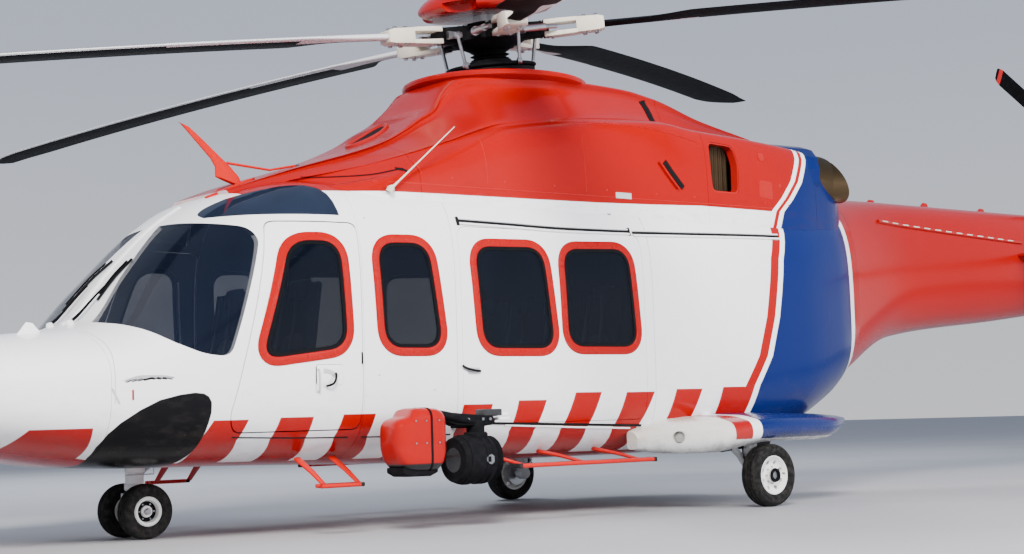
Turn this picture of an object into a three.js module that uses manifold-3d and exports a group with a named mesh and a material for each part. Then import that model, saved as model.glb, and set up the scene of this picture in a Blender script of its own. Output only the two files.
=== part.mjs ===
// Twin-engine ambulance helicopter, parked on its wheels, with closed doors. Millimetres, +Z up.
// Stations: x runs aft from the nose wheels' contact point, y to starboard, z up from the ground.
// At the end the whole machine is moved so that its box stands centred on the origin.

import * as THREE from 'three';
import { mergeVertices } from 'three/addons/utils/BufferGeometryUtils.js';
import Module from 'manifold-3d';

const wasm = await Module();
wasm.setup();

// Driving dimensions

const DEG = Math.PI / 180;
const SKIN = 40;            // whole wall of the cabin and its doors
const COWL_WALL = 30;
const GLASS = 12;
const SEAM = 0.5;           // between panels that are bolted together
const DOOR_GAP = 10;        // round a crew door, which swings
const LIGHT_GAP = 0.5;      // between a pane and its frame

const NOSE_END = -1900, NOSE_JOINT = -620, CABIN_FRONT = 1050, CABIN_REAR = 3600, BOOM_FRONT = 6400;
const BOOM_END = 10100;
const FLOOR = { top: 620, thickness: 40, front: -450, bulkhead: 3540 };

const STRETCHER = { x0: 1300, x1: 2750, half: 380, rise: 12 };   // base plate, raised from the cabin floor

const NOSE_GEAR = { radius: 176, width: 115, spacing: 290, axle: 22, piston: 38, leg: 66, housing: 70 };
const MAIN_GEAR = { x: 4330, track: 3040, radius: 228.5, width: 150, axle: 28, strutY: 1350, strut: 48 };
const BORE_PLAY = 0.8;      // between a shaft and the bore on it

// The mast leans forward by tilt and to port by lean; at rest each blade hangs by droop at its tip
const ROTOR = { x: 3020, z: 3660, tilt: 6.75 * DEG, lean: 2 * DEG, azimuth: 173 * DEG, blades: 5, radius: 6900,
  chord: 450, droop: 250 };
const TAIL_ROTOR = { x: 11450, y: 430, z: 3630, radius: 1350, blades: 4, azimuth: 25 * DEG, chord: 190,
  shaft: 40, hub: 150 };

const CREW_HINGE = { x: 60, y: 1110, heights: [770, 1040], pin: 8, knuckle: 18, tall: 22 };
const SIDES = [['left', -1], ['right', 1]];

// Hull sections, widest at height wide; lower and upper are the superellipse powers below and above it

const HULL = [
  // x, bottom, top, half, wide, lower, upper
  [-1900, 870, 1040, 110, 950, 2.0, 2.0],
  [-1800, 740, 1130, 340, 950, 2.2, 2.0],
  [-1500, 630, 1215, 620, 950, 2.5, 2.1],
  [-1100, 560, 1285, 840, 960, 2.8, 2.2],
  [-490, 470, 1370, 1010, 1000, 3.2, 2.2],
  [-180, 455, 1710, 1060, 1040, 3.4, 2.2],
  [180, 450, 2055, 1095, 1080, 3.5, 2.5],
  [470, 445, 2225, 1115, 1100, 3.6, 3.2],
  [900, 435, 2330, 1130, 1120, 3.8, 4.2],
  [1900, 410, 2340, 1130, 1130, 4.0, 5.0],
  [3600, 400, 2340, 1130, 1130, 4.0, 5.0],
  [4600, 415, 2340, 1130, 1140, 4.0, 5.0],
  [5300, 500, 2345, 1080, 1200, 3.6, 5.0],
  [5900, 690, 2420, 950, 1350, 3.2, 4.5],
  [6500, 950, 2560, 700, 1600, 2.8, 3.2],
  [7500, 1340, 2600, 450, 1900, 2.6, 2.8],
  [9330, 1530, 2610, 340, 2020, 2.4, 2.6],
  [10600, 1660, 2620, 250, 2100, 2.4, 2.4],
];

// Upper deck sections, from the hull's roof to the crest, with the engine bulge's shelf on each side

const COWL = [
  // x, base, shelfHalf, shelf, neck, crestHalf, crest
  [400, 330, 310, 2185, 290, 250, 2225],
  [870, 840, 735, 2305, 640, 520, 2400],
  [1360, 985, 900, 2420, 760, 560, 2555],
  [1650, 995, 930, 2510, 790, 510, 2660],
  [1900, 1000, 940, 2590, 800, 450, 2785],
  [2010, 1000, 945, 2625, 805, 440, 2860],
  [2180, 1000, 950, 2690, 815, 420, 2965],
  [2300, 1003, 950, 2730, 810, 370, 3095],
  [2420, 1005, 952, 2765, 800, 400, 3205],
  [2550, 1005, 955, 2790, 790, 520, 3225],
  [2800, 1005, 960, 2830, 800, 640, 3235],
  [3070, 1005, 968, 2865, 800, 690, 3240],
  [3500, 1005, 975, 2905, 740, 640, 3255],
  [3990, 1005, 980, 2930, 640, 500, 3270],
  [4310, 1005, 975, 2900, 580, 430, 3245],
  [4880, 1000, 960, 2880, 540, 400, 3110],
  [5450, 960, 930, 2850, 520, 380, 3010],
  [5800, 890, 880, 2820, 480, 350, 2950],
  [6000, 840, 820, 2760, 430, 310, 2880],
  [6450, 560, 480, 2580, 300, 200, 2700],
];
const COWL_BASE = 2100;
const COWL_FRONT = 500;
const COWL_JOINTS = [1640, 4350, 5700];

// Helpers: solids, prisms, lofts

function solid(geometry) {
  const bare = geometry.index ? geometry.toNonIndexed() : geometry.clone();
  bare.deleteAttribute('normal');
  bare.deleteAttribute('uv');
  const merged = mergeVertices(bare, 1e-3);
  return new wasm.Manifold(new wasm.Mesh({
    numProp: 3,
    vertProperties: new Float32Array(merged.attributes.position.array),
    triVerts: new Uint32Array(merged.index.array),
  }));
}

function geometryOf(body) {
  const mesh = body.getMesh();
  const geometry = new THREE.BufferGeometry();
  geometry.setAttribute('position', new THREE.BufferAttribute(new Float32Array(mesh.vertProperties), 3));
  geometry.setIndex(new THREE.BufferAttribute(new Uint32Array(mesh.triVerts), 1));
  return geometry;
}

const join = (...bodies) => bodies.reduce((a, b) => a.add(b));
const cut = (body, ...tools) => tools.reduce((a, b) => a.subtract(b), body);
const common = (a, b) => a.intersect(b);

function box(x0, x1, y0, y1, z0, z1) {
  const geometry = new THREE.BoxGeometry(x1 - x0, y1 - y0, z1 - z0);
  return solid(geometry.translate((x0 + x1) / 2, (y0 + y1) / 2, (z0 + z1) / 2));
}

function rod(from, to, radius, sides = 12, endRadius = radius) {
  const a = new THREE.Vector3(...from), b = new THREE.Vector3(...to);
  const geometry = new THREE.CylinderGeometry(endRadius, radius, a.distanceTo(b), sides);
  const turn = new THREE.Quaternion().setFromUnitVectors(new THREE.Vector3(0, 1, 0), b.clone().sub(a).normalize());
  return solid(geometry.applyQuaternion(turn).translate(...a.add(b).multiplyScalar(0.5).toArray()));
}

// Closed profile of [radius, along] turned about an axis through centre
function turned(profile, centre, axis, segments) {
  const points = [...profile, profile[0]].map(([r, along]) => new THREE.Vector2(r, along));
  const geometry = new THREE.LatheGeometry(points, segments);
  const turn = new THREE.Quaternion().setFromUnitVectors(new THREE.Vector3(0, 1, 0), new THREE.Vector3(...axis));
  return solid(outward(geometry.applyQuaternion(turn).translate(...centre)));
}

function outward(geometry) {
  const p = geometry.attributes.position, index = geometry.index.array;
  const [a, b, c] = [0, 1, 2].map(() => new THREE.Vector3());
  let volume = 0;
  for (let i = 0; i < index.length; i += 3) {
    a.fromBufferAttribute(p, index[i]);
    b.fromBufferAttribute(p, index[i + 1]);
    c.fromBufferAttribute(p, index[i + 2]);
    volume += a.dot(b.cross(c));
  }
  if (volume < 0) index.reverse();
  return geometry;
}

// Skin through rings of equal length, closed by a fan at both ends
function loft(rings) {
  const n = rings[0].length, last = (rings.length - 1) * n, index = [];
  for (let s = 0; s < last; s += n) {
    for (let i = 0; i < n; i++) {
      const j = (i + 1) % n;
      index.push(s + i, s + n + i, s + j, s + j, s + n + i, s + n + j);
    }
  }
  for (let i = 1; i < n - 1; i++) index.push(0, i, i + 1, last, last + i + 1, last + i);
  const geometry = new THREE.BufferGeometry();
  geometry.setAttribute('position', new THREE.Float32BufferAttribute(rings.flat(2), 3));
  geometry.setIndex(index);
  return solid(outward(geometry));
}

function roundedShape(corners, radius) {
  const points = corners.map(([u, v]) => new THREE.Vector2(u, v));
  const shape = new THREE.Shape();
  points.forEach((corner, i) => {
    const toward = (other) => other.clone().sub(corner).setLength(radius).add(corner);
    const enter = toward(points.at(i - 1)), leave = toward(points[(i + 1) % points.length]);
    if (i === 0) shape.moveTo(enter.x, enter.y);
    else shape.lineTo(enter.x, enter.y);
    if (radius > 0) shape.quadraticCurveTo(corner.x, corner.y, leave.x, leave.y);
  });
  shape.closePath();
  return shape;
}

// Outline in side view [x, z], pushed along y
function sidePrism(corners, y0, y1, radius = 0) {
  const geometry = new THREE.ExtrudeGeometry(roundedShape(corners, radius),
    { depth: y1 - y0, bevelEnabled: false, curveSegments: 3 });
  return solid(geometry.rotateX(Math.PI / 2).translate(0, y1, 0));
}

// Outline in plan [x, y], pushed along z
function planPrism(corners, z0, z1, radius = 0) {
  const geometry = new THREE.ExtrudeGeometry(roundedShape(corners, radius),
    { depth: z1 - z0, bevelEnabled: false, curveSegments: 3 });
  return solid(geometry.translate(0, 0, z0));
}

// Convex outline moved inward by a distance, or outward by a negative one
function inset(corners, distance) {
  const area = corners.reduce((sum, [u, v], i) => {
    const [p, q] = corners[(i + 1) % corners.length];
    return sum + u * q - p * v;
  }, 0);
  const sign = Math.sign(area);
  const normal = (a, b) => {
    const length = Math.hypot(b[0] - a[0], b[1] - a[1]);
    return [-(b[1] - a[1]) / length * sign, (b[0] - a[0]) / length * sign];
  };
  return corners.map((corner, i) => {
    const n = normal(corners.at(i - 1), corner), m = normal(corner, corners[(i + 1) % corners.length]);
    const scale = distance / (1 + n[0] * m[0] + n[1] * m[1]);
    return [corner[0] + (n[0] + m[0]) * scale, corner[1] + (n[1] + m[1]) * scale];
  });
}

// Row of a section table at station x

function sectionAt(table, x) {
  const i = Math.min(Math.max(table.findIndex((row) => row[0] >= x), 1), table.length - 1);
  const t = (x - table[i - 1][0]) / (table[i][0] - table[i - 1][0]);
  return table[i - 1].map((value, k) => value + (table[i][k] - value) * t);
}

const HULL_POINTS = 24;

function hullRing(x, depth) {
  const [, bottom, top, half, wide, lower, upper] = sectionAt(HULL, x);
  return Array.from({ length: HULL_POINTS }, (_, i) => {
    const angle = i / HULL_POINTS * 2 * Math.PI, c = Math.cos(angle), s = Math.sin(angle);
    const power = 2 / (s > 0 ? upper : lower);
    const height = s > 0 ? top - depth - wide : wide - bottom - depth;
    return [x, (half - depth) * Math.sign(c) * Math.abs(c) ** power, wide + height * Math.sign(s) * Math.abs(s) ** power];
  });
}

// Whole lofts are made once for each depth, and every panel is a slice of one
function slicer(table, ring) {
  const whole = new Map();
  return (x0, x1, depth = 0) => {
    if (!whole.has(depth)) whole.set(depth, loft(table.map(([x]) => ring(x, depth))));
    return common(whole.get(depth), box(x0, x1, -2000, 2000, 0, 4000));
  };
}

const hull = slicer(HULL, hullRing);
const hullWall = (x0, x1, depth) => cut(hull(x0, x1), hull(x0 - 5, x1 + 5, depth));

function cowlRing(x, depth) {
  const [, base, shelfHalf, shelf, neck, crestHalf, crest] = sectionAt(COWL, x);
  const floor = COWL_BASE - depth;
  const side = [
    [base - depth, floor],
    [(base + shelfHalf) / 2 - depth, COWL_BASE + (shelf - COWL_BASE) * 0.6],
    [shelfHalf - 25 - depth, shelf - 80 - depth * 0.5],
    [shelfHalf - 120 - depth, shelf - depth],
    [neck - depth, shelf + (crest - shelf) * 0.12 - depth],
    [crestHalf + 25 - depth, crest - (crest - shelf) * 0.3 - depth],
    [crestHalf - 60 - depth * 0.5, crest - 12 - depth],
  ];
  return [...side.map(([y, z]) => [x, y, z]), ...side.reverse().map(([y, z]) => [x, -y, z])];
}

const cowl = slicer(COWL, cowlRing);

// Outlines in side view, from the front lower corner round

const LIGHTS = {
  windscreen: [[-900, 1600], [-470, 1375], [-250, 1215], [-60, 1137], [110, 1120], [390, 1860], [360, 1945],
    [150, 2010], [0, 2100]],
  crew: [[295, 1090], [935, 1170], [900, 1868], [550, 1862]],
  fixed: [[1205, 1167], [1685, 1167], [1585, 1880], [1168, 1868]],
  doorFront: [[2010, 1167], [2655, 1167], [2570, 1890], [1955, 1875]],
  doorRear: [[2765, 1180], [3440, 1180], [3380, 1910], [2742, 1888]],
};
const LIGHT_RADIUS = 95;
const CREW_DOOR = [[150, 655], [1040, 655], [1040, 1985], [450, 1985], [237, 1245], [105, 760]];
const CABIN_DOOR = [[1835, 665], [3515, 665], [3515, 2015], [1835, 2000]];
const EYEBROW = [[235, 375], [915, 845], [960, 1200], [235, 1200]];
const EYEBROW_SILL = 2030;
const POST = [[-950, 560], [320, 45]];     // half-width of the centre post, at its foot and its head

const order = (a, b) => (a < b ? [a, b] : [b, a]);
const across = (side) => (side < 0 ? [-1400, -20] : [20, 1400]);
const sideCut = (corners, side, radius) => sidePrism(corners, ...across(side), radius);

function postWedge() {
  const [[x0, half0], [x1, half1]] = POST;
  return planPrism([[x0, -half0], [x1, -half1], [x1 + 400, -half1], [x1 + 400, half1], [x1, half1], [x0, half0]],
    900, 2400);
}

function eyebrowCut(side, margin) {
  const corners = inset(EYEBROW, margin).map(([x, y]) => [x, side * y]);
  return planPrism(corners, EYEBROW_SILL + margin, 2600, 60);
}

// Hull panels, doors and glass

function nose() {
  const louvreBay = 12;
  return cut(hull(NOSE_END, NOSE_JOINT - SEAM / 2), hull(NOSE_JOINT - 260, NOSE_JOINT + 5, SKIN + louvreBay));
}

function cockpitFrame() {
  const openings = SIDES.flatMap(([, side]) => [
    cut(sideCut(LIGHTS.windscreen, side), postWedge()),
    sideCut(CREW_DOOR, side),
    eyebrowCut(side, 0),
  ]);
  const pins = SIDES.flatMap(([, side]) => hingePins(side));
  return join(cut(hullWall(NOSE_JOINT + SEAM / 2, CABIN_FRONT - SEAM / 2, SKIN), ...openings), ...pins);
}

function cabinFrame() {
  const openings = SIDES.flatMap(([, side]) => [
    sideCut(LIGHTS.fixed, side, LIGHT_RADIUS),
    sideCut(CABIN_DOOR, side),
  ]);
  return cut(hullWall(CABIN_FRONT + SEAM / 2, CABIN_REAR - SEAM / 2, SKIN), ...openings);
}

const rearFuselage = () => hullWall(CABIN_REAR + SEAM / 2, BOOM_FRONT - SEAM / 2, SKIN * 0.6);
const tailBoom = () => cut(hullWall(BOOM_FRONT + SEAM / 2, BOOM_END - SEAM / 2, SKIN * 0.5), stabiliser(SEAM));

function windscreen(side) {
  const pane = common(hullWall(NOSE_JOINT + SEAM, 900, GLASS), sideCut(inset(LIGHTS.windscreen, LIGHT_GAP), side));
  const post = postWedge().translate([0, side * -LIGHT_GAP, 0]).add(postWedge().translate([0, side * LIGHT_GAP, 0]));
  return cut(pane, post);
}

const eyebrow = (side) => common(hullWall(100, 1000, GLASS), eyebrowCut(side, LIGHT_GAP));

function pane(light, side) {
  const outline = inset(LIGHTS[light], LIGHT_GAP);
  const ends = [Math.min(...outline.map(([x]) => x)) - 20, Math.max(...outline.map(([x]) => x)) + 20];
  return common(hullWall(...ends, GLASS), sideCut(outline, side, LIGHT_RADIUS));
}

// Pin and bracket of each hinge, on the frame in front of the door
function hingePins(side) {
  const { x, y, heights, pin, tall } = CREW_HINGE;
  return heights.map((z) => join(
    box(x - 14, x + 14, ...order(side * (y - 70), side * (y + 6)), z - tall, z),
    rod([x, side * y, z - tall / 2], [x, side * y, z + tall + 4], pin, 16),
  ));
}

// Knuckle and strap of each hinge, on the door; the strap reaches a little way over the door's skin
function hingeStraps(side) {
  const { x, y, heights, knuckle, tall } = CREW_HINGE;
  const seamX = (z) => 105 + (z - 760) * 0.272;
  return heights.map((z) => join(
    rod([x, side * y, z + SEAM], [x, side * y, z + tall], knuckle, 16),
    box(x, seamX(z) + 90, ...order(side * (y - 12), side * (y + 6)), z + SEAM, z + tall),
    box(seamX(z) + 25, seamX(z) + 90, ...order(side * (y - 50), side * (y + 6)), z + SEAM, z + tall),
  ));
}

function crewDoor(side) {
  const { x, y, pin } = CREW_HINGE;
  const leaf = common(hullWall(80, 1060, SKIN), sideCut(inset(CREW_DOOR, DOOR_GAP), side));
  const bore = rod([x, side * y, 600], [x, side * y, 1400], pin + BORE_PLAY, 16);
  return cut(join(leaf, ...hingeStraps(side)), sideCut(LIGHTS.crew, side, LIGHT_RADIUS), bore);
}

function cabinDoor(side) {
  const leaf = common(hullWall(1800, 3550, SKIN), sideCut(inset(CABIN_DOOR, LIGHT_GAP), side));
  return cut(leaf, sideCut(LIGHTS.doorFront, side, LIGHT_RADIUS), sideCut(LIGHTS.doorRear, side, LIGHT_RADIUS));
}

function cabinFloor() {
  const { top, thickness, front, bulkhead } = FLOOR;
  const slab = join(
    box(front, bulkhead + 30, -1200, 1200, top - thickness, top),
    box(STRETCHER.x0, STRETCHER.x1, -STRETCHER.half, STRETCHER.half, top - 1, top + STRETCHER.rise),
  );
  const wall = box(bulkhead, bulkhead + 30, -1200, 1200, 300, 2400);
  return common(join(slab, wall), hull(NOSE_JOINT, CABIN_REAR, SKIN + 1));
}

// Seats and instrument panel

function seat(x, y, width) {
  const floor = FLOOR.top + 0.5, half = width / 2;
  const back = sidePrism([[x + 400, 1020], [x + 480, 1020], [x + 590, 1640], [x + 510, 1640]], y - half, y + half);
  return join(
    box(x + 60, x + 440, y - half * 0.7, y + half * 0.7, floor, 930),
    box(x, x + 480, y - half, y + half, 920, 1030),
    back,
  );
}

const crewSeat = (side) => seat(430, side * 440, 500);

function cabinSeats() {
  const row = [-690, -230, 230, 690].map((y) => seat(2930, y, 440));
  return join(...row, box(2990, 3370, -800, 800, FLOOR.top + 0.5, 700));
}

function instrumentPanel() {
  const floor = FLOOR.top + 0.5;
  return join(
    sidePrism([[-260, 900], [0, 900], [-60, 1270], [-260, 1290]], -700, 700),
    box(-240, 620, -140, 140, floor, 910),
  );
}

// Upper deck

const MAST = new THREE.Vector3(0, 0, 1).applyAxisAngle(new THREE.Vector3(0, 1, 0), -ROTOR.tilt)
  .applyAxisAngle(new THREE.Vector3(1, 0, 0), ROTOR.lean);
const onMast = (along) => [ROTOR.x + MAST.x * along, MAST.y * along, ROTOR.z + MAST.z * along];

function cowlPanel(x0, x1, ends = [5, 5]) {
  const shell = cut(cowl(x0, x1), cowl(x0 - ends[0], x1 + ends[1], COWL_WALL));
  return cut(shell, hull(200, 6700, -SEAM));
}

const forwardFairing = () => cowlPanel(COWL_FRONT, COWL_JOINTS[0] - SEAM / 2, [-COWL_WALL, 5]);

const MAST_OPENING = 400;
function mastFairing() {
  const opening = rod(onMast(-900), onMast(0), MAST_OPENING, 24);
  return cut(cowlPanel(COWL_JOINTS[0] + SEAM / 2, COWL_JOINTS[1] - SEAM / 2), opening);
}

const INTAKE = [[4400, 2400], [4700, 2400], [4720, 2640], [4680, 2790], [4400, 2800]];
function engineCowl() {
  const intakes = SIDES.map(([, side]) => sidePrism(INTAKE, ...(side < 0 ? [-1100, -800] : [800, 1100]), 50));
  return cut(cowlPanel(COWL_JOINTS[1] + SEAM / 2, COWL_JOINTS[2] - SEAM / 2), ...intakes);
}

const EXHAUST = { from: [5760, 680, 2644], to: [6270, 810, 2620], radius: 190, wall: 12,
  mouth: [[5900, 2900], [6600, 2900], [6600, 2300], [6330, 2300]] };
function exhaustEnds(side, longer = 0) {
  const [from, to] = [EXHAUST.from, EXHAUST.to].map(([x, y, z]) => new THREE.Vector3(x, side * y, z));
  from.addScaledVector(to.clone().sub(from).normalize(), -longer);
  return [from.toArray(), to.toArray()];
}

function rearCowl() {
  const holes = SIDES.map(([, side]) => rod(...exhaustEnds(side, 15), EXHAUST.radius + 1, 40));
  return cut(cowlPanel(COWL_JOINTS[2] + SEAM / 2, 6440, [5, -COWL_WALL]), ...holes);
}

function exhaust(side) {
  const [from, to] = exhaustEnds(side);
  const along = new THREE.Vector3(...to).sub(new THREE.Vector3(...from));
  const length = along.length(), { radius, wall } = EXHAUST;
  const profile = [[0, 0], [radius, 0], [radius, length], [radius - wall, length], [radius - wall, 130], [0, 130]];
  const pipe = turnedOpen(profile, from, along.normalize().toArray(), 20);
  return cut(pipe, sidePrism(EXHAUST.mouth, ...order(side * 300, side * 1200)));
}

// Profile of [radius, along] that starts and ends on the axis
function turnedOpen(profile, centre, axis, segments) {
  const geometry = new THREE.LatheGeometry(profile.map(([r, along]) => new THREE.Vector2(r, along)), segments);
  const turn = new THREE.Quaternion().setFromUnitVectors(new THREE.Vector3(0, 1, 0), new THREE.Vector3(...axis));
  return solid(outward(geometry.applyQuaternion(turn).translate(...centre)));
}

// Gearbox and both engines as plain blocks on one deck plate, with the fixed swashplate on top

const SWASHPLATE = { along: -330, radius: 340, thickness: 50 };
function powerplant() {
  const deck = sectionAt(HULL, 5100)[2] + SEAM;
  const engines = SIDES.map(([, side]) => {
    const [y0, y1] = side < 0 ? [-640, -200] : [200, 640];
    return box(3750, 5050, y0, y1, deck, 2700);
  });
  const block = join(
    box(2500, 5100, -640, 640, deck, deck + 25),
    box(2620, 3560, -330, 330, deck, 2960),
    ...engines,
    rod(onMast(-760), onMast(SWASHPLATE.along), 290, 20, 200),
    rod(onMast(SWASHPLATE.along - 1), onMast(SWASHPLATE.along + SWASHPLATE.thickness), SWASHPLATE.radius, 20),
  );
  return cut(block, rod(onMast(HEAD.foot - 4), onMast(0), HEAD.shaft + 1, 24));
}

// Rotor head, turned with its blades in a frame whose z is the mast

const HEAD = { hub: 300, hubHalf: 85, arm: 900, shaft: 85, foot: -520, top: 150, link: 16, linkRadius: 310,
  capRadius: 530 };

function onRotor(body, turn = 0) {
  const matrix = new THREE.Matrix4().makeTranslation(ROTOR.x, 0, ROTOR.z)
    .multiply(new THREE.Matrix4().makeRotationX(ROTOR.lean))
    .multiply(new THREE.Matrix4().makeRotationY(-ROTOR.tilt))
    .multiply(new THREE.Matrix4().makeRotationZ(ROTOR.azimuth + turn));
  return body.transform(matrix.elements);
}

const bladeTurn = (i) => i / ROTOR.blades * 2 * Math.PI;

function rotorHead() {
  const low = SWASHPLATE.along + SWASHPLATE.thickness + 6;
  const grip = () => join(
    loft([[200, 90, 70], [420, 75, 60], [760, 95, 60], [HEAD.arm, 80, 45]]
      .map(([r, half, thick]) => [[r, -half, -thick], [r, half, -thick], [r, half, thick], [r, -half, thick]])),
    box(300, 420, 0, 190, -35, 20),
    rod([HEAD.linkRadius, 150, low], [360, 150, -20], HEAD.link, 8),
  );
  const arms = Array.from({ length: ROTOR.blades }, (_, i) => grip().rotate([0, 0, bladeTurn(i) / DEG]));
  return onRotor(join(
    rod([0, 0, HEAD.foot], [0, 0, HEAD.top], HEAD.shaft, 24),
    rod([0, 0, -HEAD.hubHalf], [0, 0, HEAD.hubHalf], HEAD.hub, 20),
    rod([0, 0, low], [0, 0, low + 30], HEAD.linkRadius + 40, 20),
    ...arms,
  ));
}

function rotorCap() {
  const under = HEAD.top + SEAM, rise = 200, steps = 5;
  const dome = Array.from({ length: steps + 1 }, (_, i) => {
    const angle = i / steps * Math.PI / 2;
    return [HEAD.capRadius * Math.cos(angle), under + 40 + rise * Math.sin(angle)];
  });
  dome[steps][0] = 0;
  return onRotor(turnedOpen([[0, under], [HEAD.capRadius - 40, under], ...dome], [0, 0, 0], [0, 0, 1], 24));
}

const BLADE = [
  // r, leading, trailing, thickness
  [HEAD.arm + SEAM, 70, -70, 60],
  [1250, 90, -110, 55],
  [1600, 130, -320, 52],
  [2600, 130, -320, 49],
  [3600, 130, -320, 46],
  [4500, 130, -320, 44],
  [5400, 130, -320, 42],
  [6150, 130, -320, 40],
  [6600, 60, -300, 26],
  [6900, -120, -300, 12],
];

function bladeRing([r, leading, trailing, thickness]) {
  const chord = leading - trailing;
  const upper = [[0, 0], [0.08, 0.32], [0.3, 0.5], [0.65, 0.34], [1, 0.06]];
  const lower = [[1, -0.06], [0.65, -0.34], [0.3, -0.5], [0.08, -0.32]];
  const hang = ROTOR.droop * (r / ROTOR.radius) ** 2;
  return [...upper, ...lower].map(([u, v]) => [r, leading - chord * u, v * thickness - hang]);
}

const blade = (i) => onRotor(loft(BLADE.map(bladeRing)), bladeTurn(i));

function tailRotor() {
  const { radius, chord, blades, azimuth, shaft, hub } = TAIL_ROTOR;
  const rows = [[110, 40, 30], [300, 60, 28], [430, chord / 2, 26], [radius - 90, chord / 2, 16],
    [radius, chord / 3, 8]];
  const ring = ([r, half, thick]) => [[r, -half, 0], [r, 0, -thick / 2], [r, half, 0], [r, 0, thick / 2]];
  const one = () => loft(rows.map(ring));
  const set = Array.from({ length: blades }, (_, i) => one().rotate([0, 0, i * 360 / blades + azimuth / DEG]));
  const bore = rod([0, 0, -70], [0, 0, 12], shaft + 1, 24);
  const rotor = cut(join(rod([0, 0, -60], [0, 0, 60], hub, 16), ...set), bore);
  return rotor.rotate([-90, 0, 0]).translate([TAIL_ROTOR.x, TAIL_ROTOR.y, TAIL_ROTOR.z]);
}

// Tail surfaces

const FIN = [
  // z, leading, trailing, half
  [1480, 10350, 10800, 25],
  [1800, 10150, 10950, 90],
  [2560, 10250, 11350, 110],
  [3500, 10900, 11760, 95],
  [4330, 11330, 11805, 45],
];

function foilRing(z, leading, trailing, half) {
  const chord = trailing - leading;
  return [[0, 0], [0.12, 0.7], [0.35, 1], [0.75, 0.55], [1, 0.1], [1, -0.1], [0.75, -0.55], [0.35, -1], [0.12, -0.7]]
    .map(([u, v]) => [leading + u * chord, v * half, z]);
}

function tailFin() {
  const { x, y, z, shaft, hub } = TAIL_ROTOR;
  const gearbox = turnedOpen([[0, -220], [120, -180], [150, 0], [130, 230], [shaft, 270], [shaft, y - 60], [0, y - 60]],
    [x, 60, z], [0, 1, 0], 24);
  return join(
    hull(BOOM_END + SEAM / 2, 10590),
    loft(FIN.map((row) => foilRing(...row))),
    gearbox,
  );
}

const STABILISER = { z: 2150, rows: [[-2100, 9520, 9960, 28], [0, 9270, 10025, 46], [2100, 9520, 9960, 28]] };

// One surface carried through the boom, grown by a margin for its slot
function stabiliser(margin = 0) {
  return loft(STABILISER.rows.map(([y, leading, trailing, half]) =>
    foilRing(y, leading - margin, trailing + margin, half + margin)
      .map(([x, v, along]) => [x, along, STABILISER.z + v])));
}

// Sponsons and landing gear

const SPONSON = [
  // x, inner, outer, bottom, top
  [3400, 1010, 1120, 450, 560],
  [3560, 980, 1310, 425, 610],
  [3700, 960, 1440, 410, 635],
  [3880, 950, 1555, 410, 650],
  [4080, 950, 1610, 440, 660],
  [4330, 950, 1640, 475, 670],
  [5000, 900, 1560, 475, 660],
  [5600, 850, 1200, 570, 640],
];

function sponson(side) {
  const rings = SPONSON.map(([x, inner, outer, bottom, top]) => {
    const lip = (top - bottom) * 0.3, round = (outer - inner) * 0.25;
    return [[inner, bottom], [outer - round, bottom], [outer, bottom + lip], [outer - round * 0.3, top - lip],
      [outer - round * 1.4, top], [inner, top + 30]].map(([y, z]) => [x, side * y, z]);
  });
  return cut(loft(rings), hull(3100, 5700, -SEAM));
}

function mainLeg(side) {
  const { x, track, radius, axle, strutY, strut, width } = MAIN_GEAR;
  const inside = 540;
  const leg = join(
    rod([x, side * strutY, radius - 10], [x, side * strutY, inside], strut, 14),
    rod([x - 160, side * (strutY - 80), inside], [x, side * strutY, radius + 40], 26, 10),
    rod([x, side * (strutY - 40), radius], [x, side * (track / 2 + width / 2 - 12), radius], axle, 16),
  );
  return cut(leg, sponson(side).translate([0, 0, -SEAM / 2]), box(x - 300, x + 200, -2000, 2000, 500, 600));
}

function tyre(radius, width, bore) {
  const half = width / 2, shoulder = 26;
  return [[bore, -half * 0.8], [radius * 0.55, -half * 0.8], [radius * 0.62, -half], [radius - shoulder, -half],
    [radius, -half * 0.45], [radius, half * 0.45], [radius - shoulder, half], [radius * 0.62, half],
    [radius * 0.55, half * 0.8], [bore, half * 0.8]];
}

function mainWheel(side) {
  const { x, track, radius, width, axle } = MAIN_GEAR;
  return turned(tyre(radius, width, axle + BORE_PLAY), [x, side * track / 2, radius], [0, 1, 0], 24);
}

function noseLeg() {
  const { radius, leg, piston } = NOSE_GEAR;
  const top = sectionAt(HULL, 0)[1] + 3;
  const sleeve = cut(rod([0, 0, radius + 130], [0, 0, 600], leg, 16), rod([0, 0, 0], [0, 0, 575], piston + 0.9, 16));
  return cut(sleeve, hull(-200, 200, -SEAM), box(-200, 200, -200, 200, top + 60, 700));
}

function noseFork() {
  const { radius, axle, piston, housing } = NOSE_GEAR;
  const fork = join(
    rod([0, 0, radius], [0, 0, 440], piston, 16),
    box(-44, 44, -housing, housing, radius - 44, radius + 60),
    box(-96, -30, -18, 18, radius, radius + 118),
  );
  return cut(fork, rod([0, -housing - 1, radius], [0, housing + 1, radius], axle + BORE_PLAY, 16));
}

// Twin wheels on one live axle
function noseWheels() {
  const { radius, width, spacing, axle } = NOSE_GEAR;
  const reach = spacing / 2 + width / 2 - 6;
  const wheel = (side) => turned(tyre(radius, width, axle - 2), [0, side * spacing / 2, radius], [0, 1, 0], 24);
  return join(wheel(-1), wheel(1), rod([0, -reach, radius], [0, reach, radius], axle, 16));
}

// Steps, lamp and antenna

function crewStep(side) {
  const arm = (x) => rod([x, side * 840, 500], [x, side * 1120, 315], 16, 8);
  const step = join(arm(700), arm(960), box(670, 990, ...order(side * 1070, side * 1200), 300, 330));
  return cut(step, hull(500, 1200, -SEAM));
}

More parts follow.
